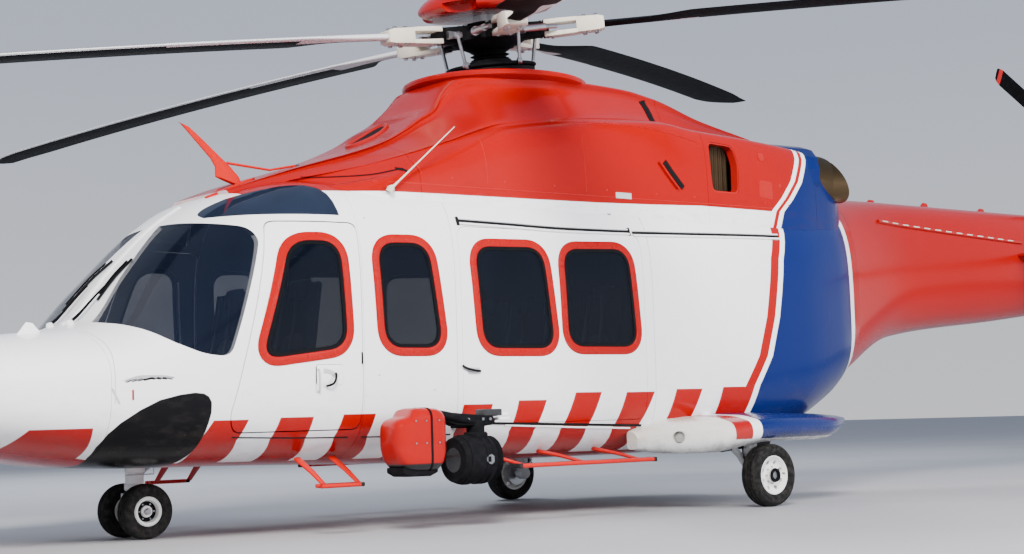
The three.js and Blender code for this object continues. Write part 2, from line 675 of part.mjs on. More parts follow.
function doorStep(side) {
  const arm = (x) => rod([x, side * 850, 470], [x, side * 1330, 385], 18, 8);
  const step = join(arm(2150), arm(2680), arm(3200), box(2085, 3340, ...order(side * 1300, side * 1390), 365, 400));
  return cut(step, hull(1800, 3590, -SEAM));
}

const POD = { x: 1310, y: -1300, z: 620 };
function lampPod() {
  const rings = [[1110, 90, 120], [1180, 125, 235], [1420, 130, 240], [1500, 90, 160]].map(([x, half, tall]) =>
    Array.from({ length: 10 }, (_, i) => {
      const angle = (i + 0.5) / 10 * 2 * Math.PI;
      return [x, POD.y - 40 + half * Math.cos(angle), POD.z - 30 + tall * Math.sin(angle)];
    }));
  const bracket = box(1240, 1900, -1330, -1000, 640, 700);
  const hanger = join(rod([LAMP.x, LAMP.y, 690], [LAMP.x, LAMP.y, LAMP.top], 60, 16),
    rod([LAMP.x, LAMP.y, 690], [LAMP.x, LAMP.y, LAMP.top - 60], LAMP.spigot, 16));
  return cut(join(loft(rings), bracket, hanger), hull(1000, 2000, -SEAM));
}

const LAMP = { x: 1800, y: -1290, z: 440, radius: 165, top: 624, spigot: 30 };
function searchlight() {
  const { x, y, z, radius, top, spigot } = LAMP;
  const ball = rod([x - 190, y, z], [x + 120, y, z], radius, 18);
  return cut(join(ball, rod([x, y, z], [x, y, top - 6], 80, 14)), rod([x, y, top - 64], [x, y, top], spigot + 1, 16));
}

function antenna() {
  const base = rod([700, -200, 2250], [620, -200, 2480], 60, 8, 30);
  const mast = sidePrism([[600, 2400], [700, 2400], [330, 2690], [250, 2700]], -212, -188);
  return cut(join(base, mast), cowl(430, 1700, -SEAM), hull(300, 1500, -SEAM));
}

// Materials

const finish = (color, roughness, metalness = 0) => new THREE.MeshStandardMaterial({ color, roughness, metalness });
const white = finish('#e9e7ea', 0.3);
const red = finish('#d8150c', 0.3);
const blue = finish('#12409c', 0.3);
const black = finish('#141416', 0.5);
const steel = finish('#b9bbbd', 0.4, 0.8);
const bronze = finish('#5b4528', 0.45, 0.7);
const rubber = finish('#1b1b1c', 0.85);
const cloth = finish('#2b2d33', 0.95);
const floorGrey = finish('#777a7d', 0.8);
const glass = new THREE.MeshStandardMaterial({ color: '#1c2740', roughness: 0.05, transparent: true, opacity: 0.5 });

// Assembly

const PARTS = [
  ['nose', nose, white],
  ['cockpit_frame', cockpitFrame, white],
  ['cabin_frame', cabinFrame, white],
  ['rear_fuselage', rearFuselage, blue],
  ['tail_boom', tailBoom, red],
  ['tail_fin', tailFin, red],
  ['stabiliser', () => stabiliser(), red],
  ['cabin_floor', cabinFloor, floorGrey],
  ['cabin_seats', cabinSeats, cloth],
  ['instrument_panel', instrumentPanel, black],
  ['forward_fairing', forwardFairing, red],
  ['mast_fairing', mastFairing, red],
  ['engine_cowl', engineCowl, red],
  ['rear_cowl', rearCowl, blue],
  ['powerplant', powerplant, steel],
  ['rotor_head', rotorHead, black],
  ['rotor_cap', rotorCap, red],
  ['tail_rotor', tailRotor, black],
  ['nose_leg', noseLeg, white],
  ['nose_fork', noseFork, steel],
  ['nose_wheels', noseWheels, rubber],
  ['lamp_pod', lampPod, red],
  ['searchlight', searchlight, black],
  ['blade_antenna', antenna, red],
];

const MIRRORED = [
  ['windscreen', windscreen, glass],
  ['eyebrow_window', eyebrow, glass],
  ['crew_door', crewDoor, white],
  ['crew_window', (side) => pane('crew', side), glass],
  ['cabin_window', (side) => pane('fixed', side), glass],
  ['cabin_door', cabinDoor, white],
  ['door_window_front', (side) => pane('doorFront', side), glass],
  ['door_window_rear', (side) => pane('doorRear', side), glass],
  ['crew_seat', crewSeat, cloth],
  ['exhaust', exhaust, bronze],
  ['sponson', sponson, white],
  ['main_leg', mainLeg, white],
  ['main_wheel', mainWheel, rubber],
  ['crew_step', crewStep, red],
  ['door_step', doorStep, red],
];

const helicopter = new THREE.Group();

function place(name, body, material) {
  const mesh = new THREE.Mesh(geometryOf(body), material);
  mesh.name = name;
  helicopter.add(mesh);
}

for (const [name, make, material] of PARTS) place(name, make(), material);
for (const [name, make, material] of MIRRORED) {
  for (const [label, side] of SIDES) place(`${name}_${label}`, make(side), material);
}
for (let i = 0; i < ROTOR.blades; i++) place(`rotor_blade_${i + 1}`, blade(i), black);

const middle = new THREE.Box3().setFromObject(helicopter).getCenter(new THREE.Vector3());
helicopter.position.set(-middle.x, -middle.y, 0);

export default helicopter;
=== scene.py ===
"""Looks for the parked twin-engine ambulance helicopter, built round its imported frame."""

import math
from math import cos, hypot, pi, radians, sin

import bmesh
import bpy
import numpy as np
from mathutils import Matrix, Vector


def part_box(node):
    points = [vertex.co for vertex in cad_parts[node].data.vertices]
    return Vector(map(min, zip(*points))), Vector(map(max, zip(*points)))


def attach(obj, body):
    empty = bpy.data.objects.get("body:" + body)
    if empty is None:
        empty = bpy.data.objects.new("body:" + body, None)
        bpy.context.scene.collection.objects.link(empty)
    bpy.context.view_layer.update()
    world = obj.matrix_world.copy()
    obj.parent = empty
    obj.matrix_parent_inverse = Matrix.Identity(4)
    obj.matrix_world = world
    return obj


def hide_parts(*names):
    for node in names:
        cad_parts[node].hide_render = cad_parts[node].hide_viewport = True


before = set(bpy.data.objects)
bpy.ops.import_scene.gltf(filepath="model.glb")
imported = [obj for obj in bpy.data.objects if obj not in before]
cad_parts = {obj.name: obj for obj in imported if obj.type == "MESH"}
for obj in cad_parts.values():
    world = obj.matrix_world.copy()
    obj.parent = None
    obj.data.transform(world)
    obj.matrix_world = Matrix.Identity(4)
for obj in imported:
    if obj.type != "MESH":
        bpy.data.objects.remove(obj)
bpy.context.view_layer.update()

# Stations: x aft from the nose wheels' contact point, y to starboard, z up, in metres
nose_low, nose_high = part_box("nose_wheels")
SHIFT = Vector(((nose_low.x + nose_high.x) / 2, (nose_low.y + nose_high.y) / 2, 0))
SIDES = (("left", -1), ("right", 1))
ORIGIN, AFT, STARBOARD, UP = (0, 0, 0), (1, 0, 0), (0, 1, 0), (0, 0, 1)

# Tables shared with the solids

HULL = np.array([
    # x, bottom, top, half, widest at, lower power, upper power
    [-1.925, .945, .955, .004, .95, 2, 2],
    [-1.8, .74, 1.13, .34, .95, 2.2, 2],
    [-1.5, .63, 1.215, .62, .95, 2.5, 2.1],
    [-1.1, .56, 1.285, .84, .96, 2.8, 2.2],
    [-.49, .47, 1.37, 1.01, 1, 3.2, 2.2],
    [-.18, .455, 1.71, 1.06, 1.04, 3.4, 2.2],
    [.18, .45, 2.055, 1.095, 1.08, 3.5, 2.5],
    [.47, .445, 2.225, 1.115, 1.1, 3.6, 3.2],
    [.9, .435, 2.33, 1.13, 1.12, 3.8, 4.2],
    [1.9, .41, 2.34, 1.13, 1.13, 4, 5],
    [3.6, .4, 2.34, 1.13, 1.13, 4, 5],
    [4.6, .415, 2.34, 1.13, 1.14, 4, 5],
    [5.3, .5, 2.345, 1.08, 1.2, 3.6, 5],
    [5.9, .69, 2.42, .95, 1.35, 3.2, 4.5],
    [6.5, .95, 2.56, .7, 1.6, 2.8, 3.2],
    [7.5, 1.34, 2.6, .45, 1.9, 2.6, 2.8],
    [9.33, 1.53, 2.61, .34, 2.02, 2.4, 2.6],
    [10.6, 1.66, 2.62, .25, 2.1, 2.4, 2.4],
])
COWL = np.array([
    # x, base half, shelf half, shelf height, neck half, crest half, crest height
    [.5, .49, .43, 2.215, .39, .33, 2.265],
    [.87, .84, .735, 2.305, .64, .52, 2.4],
    [1.36, .985, .9, 2.42, .76, .56, 2.555],
    [1.65, .995, .93, 2.51, .79, .51, 2.66],
    [1.9, 1, .94, 2.59, .8, .45, 2.785],
    [2.01, 1, .945, 2.625, .805, .44, 2.86],
    [2.18, 1, .95, 2.69, .815, .42, 2.965],
    [2.3, 1.003, .95, 2.73, .81, .37, 3.095],
    [2.42, 1.005, .952, 2.765, .8, .4, 3.205],
    [2.55, 1.005, .955, 2.79, .79, .46, 3.225],
    [2.8, 1.005, .96, 2.83, .8, .56, 3.235],
    [3.07, 1.005, .968, 2.865, .8, .62, 3.24],
    [3.5, 1.005, .975, 2.905, .74, .56, 3.255],
    [3.99, 1.005, .98, 2.93, .64, .47, 3.27],
    [4.31, 1.005, .975, 2.9, .58, .43, 3.245],
    [4.88, 1, .96, 2.88, .54, .4, 3.11],
    [5.45, .96, .93, 2.85, .52, .38, 3.01],
    [5.8, .89, .88, 2.82, .48, .35, 2.95],
    [6, .84, .82, 2.76, .43, .31, 2.88],
    [6.45, .56, .48, 2.58, .3, .2, 2.7],
])
COWL_BASE = 2.1
LIGHTS = {
    "windscreen": [(-.9, 1.6), (-.47, 1.375), (-.25, 1.215), (-.06, 1.137), (.11, 1.12), (.39, 1.86),
                   (.36, 1.945), (.15, 2.01), (0, 2.1)],
    "crew": [(.295, 1.09), (.935, 1.17), (.9, 1.868), (.55, 1.862)],
    "fixed": [(1.205, 1.167), (1.685, 1.167), (1.585, 1.88), (1.168, 1.868)],
    "door_front": [(2.01, 1.167), (2.655, 1.167), (2.57, 1.89), (1.955, 1.875)],
    "door_rear": [(2.765, 1.18), (3.44, 1.18), (3.38, 1.91), (2.742, 1.888)],
}
CREW_DOOR = [(.15, .655), (1.04, .655), (1.04, 1.985), (.45, 1.985), (.237, 1.245), (.105, .76)]
CABIN_DOOR = [(1.835, .665), (3.515, .665), (3.515, 2.015), (1.835, 2)]
EYEBROW = [(.235, .375), (.915, .845), (.96, 1.2), (.235, 1.2)]
EYEBROW_SILL = 2.03
POST = ((-.95, .56), (.32, .045))
SKIN = .04
PANE = .012


# Smooth curves through a table's rows

def slopes(t, v):
    """Monotone slopes at each row, so that a curve doesn't overshoot."""
    h = np.diff(t)[:, None]
    d = np.diff(v, axis=0) / h
    inner = np.where(d[:-1] * d[1:] > 0, 3 * (h[:-1] + h[1:]) / (
        (2 * h[1:] + h[:-1]) / np.where(d[:-1] == 0, 1, d[:-1])
        + (h[1:] + 2 * h[:-1]) / np.where(d[1:] == 0, 1, d[1:])), 0)
    return np.vstack([d[:1], inner, d[-1:]])


def through(table, stretch=None):
    """A function of x that gives the other columns, smooth from row to row."""
    warp = stretch or (lambda x: x)
    t = warp(table[:, 0])
    v = table[:, 1:]
    m = slopes(t, v)

    def at(x):
        u = warp(min(max(x, table[0, 0]), table[-1, 0]))
        i = min(max(int(np.searchsorted(t, u)) - 1, 0), len(t) - 2)
        h = t[i + 1] - t[i]
        s = (u - t[i]) / h
        return (v[i] * (1 + 2 * s) * (1 - s) ** 2 + m[i] * h * s * (1 - s) ** 2
                + v[i + 1] * s * s * (3 - 2 * s) + m[i + 1] * h * s * s * (s - 1))

    return at


NOSE_TIP = -1.926
hull_at = through(HULL, lambda x: np.sqrt(x - NOSE_TIP))
cowl_at = through(COWL)


def resampled(points, count):
    points = np.asarray(points, float)
    along = np.concatenate([[0], np.cumsum(np.linalg.norm(np.diff(points, axis=0), axis=1))])
    where = np.linspace(0, along[-1], count)
    return np.stack([np.interp(where, along, points[:, k]) for k in range(points.shape[1])], 1)


def hull_ring(x, depth=0, quarter=26):
    """Points of one hull section, evenly spaced in each quarter."""
    bottom, top, half, wide, lower, upper = hull_at(x)
    half = max(half - depth, .002)
    angles = np.linspace(0, pi / 2, 200)
    c, s = np.cos(angles), np.sin(angles)
    up = np.stack([half * c ** (2 / upper), wide + max(top - depth - wide, .002) * s ** (2 / upper)], 1)
    low = np.stack([half * c ** (2 / lower), wide - max(wide - bottom - depth, .002) * s ** (2 / lower)], 1)
    up, low = resampled(up, quarter + 1), resampled(low, quarter + 1)
    flip = np.array([-1, 1])
    ring = np.vstack([up[:-1], (up * flip)[:0:-1], (low * flip)[:-1], low[:0:-1]])
    return np.column_stack([np.full(len(ring), x), ring])


def hull_half(x, z):
    """Half-width of the hull at a station and height."""
    bottom, top, half, wide, lower, upper = hull_at(x)
    power, reach = (upper, top - wide) if z > wide else (lower, wide - bottom)
    return half * max(0, 1 - min(1, abs(z - wide) / reach) ** power) ** (1 / power)


def hull_roof(x, y):
    """Height of the hull's roof at a station and offset."""
    bottom, top, half, wide, lower, upper = hull_at(x)
    return wide + (top - wide) * max(0, 1 - min(1, abs(y) / half) ** upper) ** (1 / upper)


def hull_normal(x, z, side):
    e = .004
    dx = (hull_half(x + e, z) - hull_half(x - e, z)) / (2 * e)
    dz = (hull_half(x, z + e) - hull_half(x, z - e)) / (2 * e)
    return Vector((-dx, side, -dz)).normalized()


def spline(points, count):
    """Catmull-Rom curve through points."""
    p = [Vector(q) for q in points]
    out = []
    for k in range(len(p) - 1):
        a, b, c, d = p[max(k - 1, 0)], p[k], p[k + 1], p[min(k + 2, len(p) - 1)]
        for i in range(count):
            t = i / count
            out.append(.5 * (2 * b + (c - a) * t + (2 * a - 5 * b + 4 * c - d) * t * t
                             + (3 * b - a - 3 * c + d) * t ** 3))
    return out + [p[-1]]


def cowl_ring(x, depth=0, fine=7):
    base, shelf_half, shelf, neck, crest_half, crest = cowl_at(x)
    floor = COWL_BASE - depth
    side = [
        (base - depth, floor),
        ((base + shelf_half) / 2 - depth, COWL_BASE + (shelf - COWL_BASE) * .6),
        (shelf_half - .025 - depth, shelf - .08 - depth * .5),
        (shelf_half - .12 - depth, shelf - depth),
        (neck - depth, shelf + (crest - shelf) * .12 - depth),
        (crest_half + .025 - depth, crest - (crest - shelf) * .3 - depth),
        (crest_half - .06 - depth * .5, crest - .012 - depth),
    ]
    ring = [(y, z, 0) for y, z in side] + [(-y, z, 0) for y, z in side[::-1]]
    return [(x, p.x, p.y) for p in spline(ring, fine)]


def crossing(line, at):
    """The largest second value where a line of [first, second] points passes a first value."""
    best = 0
    for (u0, v0), (u1, v1) in zip(line, line[1:]):
        if min(u0, u1) <= at <= max(u0, u1) and u0 != u1:
            best = max(best, v0 + (v1 - v0) * (at - u0) / (u1 - u0))
    return best


def cowl_side(x, z, side):
    """Offset of the cowl's outer skin at a station and height."""
    ring = cowl_ring(x)
    return side * crossing([(p[2], p[1]) for p in ring[:len(ring) // 2 + 1]], z)


def cowl_top(x, y):
    """Height of the cowl's skin at a station and offset."""
    return crossing([p[1:] for p in cowl_ring(x)], y)


# Meshes

def mesh_object(name, verts, faces, smooth=40):
    data = bpy.data.meshes.new(name)
    data.from_pydata([tuple(Vector(v) + SHIFT) for v in verts], [], faces)
    data.validate()
    obj = bpy.data.objects.new(name, data)
    bpy.context.scene.collection.objects.link(obj)
    tidy_normals(data, smooth)
    return obj


def tidy_normals(data, smooth=40, weld=1e-5):
    bm = bmesh.new()
    bm.from_mesh(data)
    bmesh.ops.remove_doubles(bm, verts=bm.verts, dist=weld)
    bmesh.ops.recalc_face_normals(bm, faces=bm.faces)
    limit = radians(smooth)
    for edge in bm.edges:
        edge.smooth = len(edge.link_faces) == 2 and edge.calc_face_angle(0) < limit
    for face in bm.faces:
        face.smooth = True
    bm.to_mesh(data)
    bm.free()


def bake(obj):
    """The object's modifiers become its mesh."""
    data = bpy.data.meshes.new_from_object(obj.evaluated_get(bpy.context.evaluated_depsgraph_get()))
    obj.modifiers.clear()
    obj.data = data
    tidy_normals(data)
    return obj


def discard(*objs):
    for obj in objs:
        bpy.data.objects.remove(obj)


def carve(obj, *tools, operation="DIFFERENCE", keep_tools=False):
    """Each tool is taken from the object in turn, or kept in common with it."""
    for tool in tools:
        change = obj.modifiers.new("carve", "BOOLEAN")
        change.operation, change.object, change.solver = operation, tool, "MANIFOLD"
        bake(obj)
    if not keep_tools:
        discard(*tools)
    return obj


def loft(rings, caps=True, smooth=40, name="part"):
    """Closed rings joined one to the next, with its two ends capped."""
    n = len(rings[0])
    verts = [tuple(p) for ring in rings for p in ring]
    faces = []
    for s in range(len(rings) - 1):
        for i in range(n):
            j = (i + 1) % n
            faces.append((s * n + i, (s + 1) * n + i, (s + 1) * n + j, s * n + j))
    if caps:
        faces.append(tuple(range(n)))
        faces.append(tuple(range((len(rings) - 1) * n, len(rings) * n))[::-1])
    return mesh_object(name, verts, faces, smooth)


def winding(corners):
    """1 for an outline that runs anticlockwise, -1 for the other way."""
    sides = zip(corners, corners[1:] + corners[:1])
    return math.copysign(1, sum(a[0] * b[1] - b[0] * a[1] for a, b in sides))


def inset(corners, distance):
    """A convex outline moved inward by a distance, or outward by a negative one."""
    sign = winding(corners)

    def normal(a, b):
        d = Vector((b[0] - a[0], b[1] - a[1])).normalized()
        return Vector((-d.y, d.x)) * sign

    out = []
    for i, (u, v) in enumerate(corners):
        a = normal(corners[i - 1], corners[i])
        b = normal(corners[i], corners[(i + 1) % len(corners)])
        move = (a + b) * (distance / (1 + a.dot(b)))
        out.append((u + move.x, v + move.y))
    return out


def rounded(corners, radius, steps=8, straight=0):
    """An outline with round corners; straight adds points along its sides, that far apart."""
    out = []
    n = len(corners)
    for i in range(n):
        p, a, b = (Vector(corners[k]) for k in (i, i - 1, (i + 1) % n))
        r = min(radius, (a - p).length * .49, (b - p).length * .49)
        enter, leave = p + (a - p).normalized() * r, p + (b - p).normalized() * r
        for k in range(steps + 1):
            t = k / steps
            out.append(enter * (1 - t) ** 2 + p * 2 * t * (1 - t) + leave * t * t)
    if straight:
        dense = []
        for a, b in zip(out, out[1:] + out[:1]):
            count = max(1, int((b - a).length / straight))
            dense += [a.lerp(b, k / count) for k in range(count)]
        out = dense
    return [(p.x, p.y) for p in out]


def prism(corners, low, high, across="y"):
    """An outline in side view [x, z] pushed along y, or in plan [x, y] pushed along z."""
    place = (lambda u, v, w: (u, w, v)) if across == "y" else (lambda u, v, w: (u, v, w))
    return loft([[place(u, v, w) for u, v in corners] for w in sorted((low, high))])


def bevelled(obj, width, segments=2):
    change = obj.modifiers.new("edge", "BEVEL")
    change.width, change.segments, change.limit_method = width, segments, "ANGLE"
    change.angle_limit = radians(30)
    return bake(obj)


def bar(corners, low, high, bevel, segments=2):
    """A prism across the machine with bevelled edges."""
    return bevelled(prism(corners, low, high), bevel, segments)


def box(x0, x1, y0, y1, z0, z1, bevel=0, segments=3):
    verts = [(x, y, z) for x in (x0, x1) for y in sorted((y0, y1)) for z in (z0, z1)]
    faces = [(0, 1, 3, 2), (4, 6, 7, 5), (0, 4, 5, 1), (2, 3, 7, 6), (0, 2, 6, 4), (1, 5, 7, 3)]
    obj = mesh_object("part", verts, faces)
    return bevelled(obj, bevel, segments) if bevel else obj


def slab(rows, bevel=.006):
    """A box whose size changes along x: rows of x, half width, low z, high z."""
    obj = loft([[(x, -half, low), (x, half, low), (x, half, high), (x, -half, high)]
                for x, half, low, high in rows], smooth=30)
    return bevelled(obj, bevel) if bevel else obj


def basis(axis):
    axis = Vector(axis).normalized()
    side = axis.orthogonal().normalized()
    return axis, side, axis.cross(side)


def circle(count):
    """Angles spread evenly round a turn."""
    return [2 * pi * k / count for k in range(count)]


def turned(profile, centre=ORIGIN, axis=UP, segments=48, smooth=35, name="part"):
    """A profile of [radius, along] turned about an axis; a radius of 0 closes it."""
    axis, u, _ = basis(axis)
    v = axis.cross(u)
    centre = Vector(centre)
    rings = [[centre + axis * a + (u * cos(t) + v * sin(t)) * max(r, 1e-5) for t in circle(segments)]
             for r, a in profile]
    return loft(rings, profile[0] != profile[-1], smooth, name)


def tube(points, radius, segments=12, caps=True, flat=1, name="part"):
    """A tube along points; radius may be a list; flat squeezes it along the second cross axis."""
    points = [Vector(p) for p in points]
    radii = radius if hasattr(radius, "__len__") else [radius] * len(points)
    rings = []
    previous = None
    for k, p in enumerate(points):
        tangent = (points[min(k + 1, len(points) - 1)] - points[max(k - 1, 0)]).normalized()
        if previous is None:
            guess = Vector(UP) if abs(tangent.z) < .9 else Vector(AFT)
            u = tangent.cross(guess).normalized()
        else:
            u = (previous - tangent * previous.dot(tangent)).normalized()
        previous = u
        v = tangent.cross(u)
        rings.append([p + (u * cos(t) + v * sin(t) * flat) * radii[k] for t in circle(segments)])
    return loft(rings, caps, 50, name)


def bolts(points, normal, radius=.009, height=.007, sides=6):
    """Heads with a few sides standing on points, as one mesh."""
    axis, u, v = basis(normal)
    verts, faces = [], []
    for p in points:
        start = len(verts)
        for h, r in ((0, radius), (height * .8, radius), (height, radius * .86)):
            verts += [Vector(p) + axis * h + (u * cos(a) + v * sin(a)) * r for a in circle(sides)]
        for s in range(2):
            for k in range(sides):
                j = (k + 1) % sides
                b = start + s * sides
                faces.append((b + k, b + j, b + sides + j, b + sides + k))
        faces.append(tuple(range(start + 2 * sides, start + 3 * sides)))
        faces.append(tuple(range(start + sides - 1, start - 1, -1)))
    return mesh_object("part", verts, faces, 30)


def joined(name, objs):
    """Several meshes as one piece, with each one's materials kept."""
    data = bpy.data.meshes.new(name)
    bm = bmesh.new()
    slots = []
    for obj in objs:
        part = bmesh.new()
        part.from_mesh(obj.data)
        part.transform(obj.matrix_world)
        own = list(obj.data.materials) or [None]
        for face in part.faces:
            material = own[min(face.material_index, len(own) - 1)]
            if material not in slots:
                slots.append(material)
            face.material_index = slots.index(material)
        scratch = bpy.data.meshes.new("scratch")
        part.to_mesh(scratch)
        part.free()
        bm.from_mesh(scratch)
        bpy.data.meshes.remove(scratch)
    bm.to_mesh(data)
    bm.free()
    for material in slots:
        if material:
            data.materials.append(material)
    discard(*objs)
    obj = bpy.data.objects.new(name, data)
    bpy.context.scene.collection.objects.link(obj)
    return obj


def clad(obj, *materials):
    """The object with these materials and no others."""
    obj.data.materials.clear()
    for material in materials:
        obj.data.materials.append(material)
    return obj


def dress(obj, material, body, node=None):
    """A visible piece: its material, the body it rides on and the node it stands for."""
    if material is not None:
        clad(obj, material)
    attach(obj, body)
    if node:
        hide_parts(node)
    return obj


def built(rows):
    """One mesh for each row of material, maker and the maker's arguments."""
    return [clad(make(*values), material) for material, make, *values in rows]


def assembly(name, parts, body, node=None):
    """Several meshes dressed as one piece."""
    return dress(joined(name, parts), None, body, node)


# Materials: sums of node sockets, written as expressions

class Sum:
    """A number in a material's nodes."""

    def __init__(self, tree, value):
        self.tree, self.value = tree, value

    def math(self, operation, *others):
        node = self.tree.nodes.new("ShaderNodeMath")
        node.operation = operation
        for k, item in enumerate((self, *others)):
            value = item.value if isinstance(item, Sum) else item
            if isinstance(value, (int, float)):
                node.inputs[k].default_value = value
            else:
                self.tree.links.new(value, node.inputs[k])
        return Sum(self.tree, node.outputs[0])

    def __add__(self, other):
        return self.math("ADD", other)

    def __sub__(self, other):
        return self.math("SUBTRACT", other)

    def __mul__(self, other):
        return self.math("MULTIPLY", other)

    def over(self, edge, soft=.002):
        """1 where this is above an edge, with a narrow soft step."""
        node = self.tree.nodes.new("ShaderNodeMapRange")
        self.tree.links.new((self - edge).value, node.inputs["Value"])
        node.inputs["From Min"].default_value, node.inputs["From Max"].default_value = -soft, soft
        return Sum(self.tree, node.outputs["Result"])


def either(a, b):
    return a.math("MAXIMUM", b)


def outside(mask):
    return Sum(mask.tree, 1).math("SUBTRACT", mask)


def table_curve(x, points):
    """Piecewise straight line through points, as nodes."""
    (x0, y0), (x1, y1) = points[:2]
    slope = (y1 - y0) / (x1 - x0)
    total = (x - x0) * slope + y0
    for (xa, ya), (xb, yb) in zip(points[1:], points[2:]):
        turn = (yb - ya) / (xb - xa) - slope
        slope += turn
        total = total + (x - xa).math("MAXIMUM", 0) * turn
    return total


INPUTS = {"rough": "Roughness", "metal": "Metallic", "coat": "Coat Weight", "coat_rough": "Coat Roughness",
          "sheen": "Sheen Weight", "ior": "IOR", "specular": "Specular IOR Level"}


class Stuff:
    """One material being made: its shader, its station coordinates and its noise."""

    def __init__(self, name, **values):
        self.material = bpy.data.materials.new(name)
        self.material.use_nodes = True
        self.tree = self.material.node_tree
        self.shader = self.tree.nodes["Principled BSDF"]
        for key, value in values.items():
            self.shader.inputs[INPUTS[key]].default_value = value
        where = self.tree.nodes.new("ShaderNodeTexCoord")
        self.place = self.vector("SUBTRACT", where.outputs["Object"], SHIFT)
        split = self.tree.nodes.new("ShaderNodeSeparateXYZ")
        self.tree.links.new(self.place, split.inputs[0])
        self.x, self.y, self.z = (Sum(self.tree, split.outputs[k]) for k in range(3))

    def vector(self, operation, source, value):
        node = self.tree.nodes.new("ShaderNodeVectorMath")
        node.operation = operation
        node.inputs[1].default_value = value
        self.tree.links.new(source, node.inputs[0])
        return node.outputs[0]

    def mix(self, factor, a, b):
        """A blend of two colours; each is a tuple or the output of another blend."""
        node = self.tree.nodes.new("ShaderNodeMix")
        node.data_type = "RGBA"
        self.tree.links.new(factor.value, node.inputs[0])
        for key, item in ((6, a), (7, b)):
            if isinstance(item, tuple):
                node.inputs[key].default_value = (*item, 1)
            else:
                self.tree.links.new(item, node.inputs[key])
        return node.outputs[2]

    def noise(self, scale, detail=3, stretch=None, rough=.5):
        node = self.tree.nodes.new("ShaderNodeTexNoise")
        vector = self.vector("MULTIPLY", self.place, stretch) if stretch else self.place
        self.tree.links.new(vector, node.inputs["Vector"])
        for key, value in (("Scale", scale), ("Detail", detail), ("Roughness", rough)):
            node.inputs[key].default_value = value
        return Sum(self.tree, node.outputs["Fac"])

    def give(self, key, item):
        self.tree.links.new(item.value if isinstance(item, Sum) else item, self.shader.inputs[key])

    def done(self, color, rough, height, distance, strength):
        """The finished material, from its colour, its roughness and its fine relief."""
        self.give("Base Color", color)
        if rough is not None:
            self.give("Roughness", rough)
        node = self.tree.nodes.new("ShaderNodeBump")
        node.inputs["Distance"].default_value = distance
        node.inputs["Strength"].default_value = strength
        self.tree.links.new(height.value, node.inputs["Height"])
        self.give("Normal", node.outputs[0])
        return self.material


def scaled(rgb, factor, more=0):
    return tuple(min(1, c * factor + more) for c in rgb)


WHITE = (.88, .875, .885)
RED = (.33, .0004, .0001)
BLUE = (.001, .009, .09)
DARK = (.006, .006, .007)

RED_EDGE = [(-2, 2.19), (.67, 2.2), (1.37, 2.222), (2.57, 2.236), (3.2, 2.246), (3.75, 2.262),
            (4.26, 2.282), (5.15, 2.284)]
BELLY = [(-1.95, .92), (-1.8, .78), (-1.5, .665), (-1, .592), (-.5, .505), (0, .482), (1, .468), (2.4, .45),
         (3.6, .445), (4.6, .45), (5.4, .56)]
STRIPE_HEIGHTS = (.45, .53, .61)
STRIPES = [
    # top height, then stations of the fore and aft edges at the three heights and at the top
    (.712, (-1, -1.06, -1.12, -1.04), (-.68, -.686, -.69, -.704)),
    (.738, (-.015, -.045, -.052, .01), (.255, .225, .203, .241)),
    (.745, (.482, .452, .426, .455), (.735, .705, .672, .687)),
    (.755, (.935, .905, .874, .901), (1.19, 1.16, 1.123, 1.145)),
    (.778, (1.4, 1.37, 1.34, 1.37), (1.64, 1.61, 1.58, 1.617)),
    (.8, (1.865, 1.835, 1.805, 1.842), (2.095, 2.065, 2.04, 2.09)),
    (.82, (2.335, 2.305, 2.275, 2.312), (2.545, 2.515, 2.497, 2.562)),
    (.868, (2.785, 2.755, 2.735, 2.825), (3.025, 2.995, 2.974, 3.07)),
    (.864, (3.28, 3.25, 3.225, 3.311), (3.51, 3.48, 3.467, 3.589)),
    (.88, (3.78, 3.75, 3.72, 3.81), (4, 3.97, 3.96, 4.08)),
    (.89, (4.27, 4.24, 4.21, 4.3), (4.49, 4.46, 4.45, 4.57)),
]
RED_START = .5
CROWN_END, CROWN_SLOPE, CROWN_OFFSET = .8, .691, .243
BOOM_RINGS = ((6.15, WHITE), (6.25, RED))
POD_LINE = .435
NOSE_PATCH = [(-.56, .44), (-.06, .44), (-.012, .79), (-.016, .849), (-.035, .882), (-.068, .901),
              (-.125, .907), (-.218, .896), (-.339, .867), (-.454, .81), (-.558, .738), (-.615, .675),
              (-.644, .6), (-.635, .54)]
BLUE_EDGE = [(2.6, 5.39), (2.26, 5.36), (2.15, 5.2), (1.886, 5.08), (1.43, 4.98), (1.124, 4.87),
             (.9, 4.71), (.69, 4.62), (.4, 4.42)]
COWL_RINGS = [(2.05, 5.08), (2.29, 5.18), (2.4, 5.31), (2.55, 5.45), (2.75, 5.56), (2.95, 5.6)]
WINDOW_FRAMES = ("crew", "fixed", "door_front", "door_rear")


def polygon_mask(a, b, corners):
    """1 inside a convex outline in the two coordinates."""
    sign = winding(corners)
    mask = None
    for (p, q), (r, s) in zip(corners, corners[1:] + corners[:1]):
        length = hypot(r - p, s - q) / sign
        inside = ((b - q) * ((r - p) / length) - (a - p) * ((s - q) / length)).over(0)
        mask = inside if mask is None else mask * inside
    return mask


def striped(m):
    """1 on the stripes along the lower hull and on its belly."""
    mask = outside((m.z - table_curve(m.x, BELLY)).over(0))
    for top, *edges in STRIPES:
        fore, aft = (m.x - table_curve(m.z, list(zip((*STRIPE_HEIGHTS, top), edge))) for edge in edges)
        mask = either(mask, fore.over(0) * outside(aft.over(0)) * outside(m.z.over(top)))
    return mask


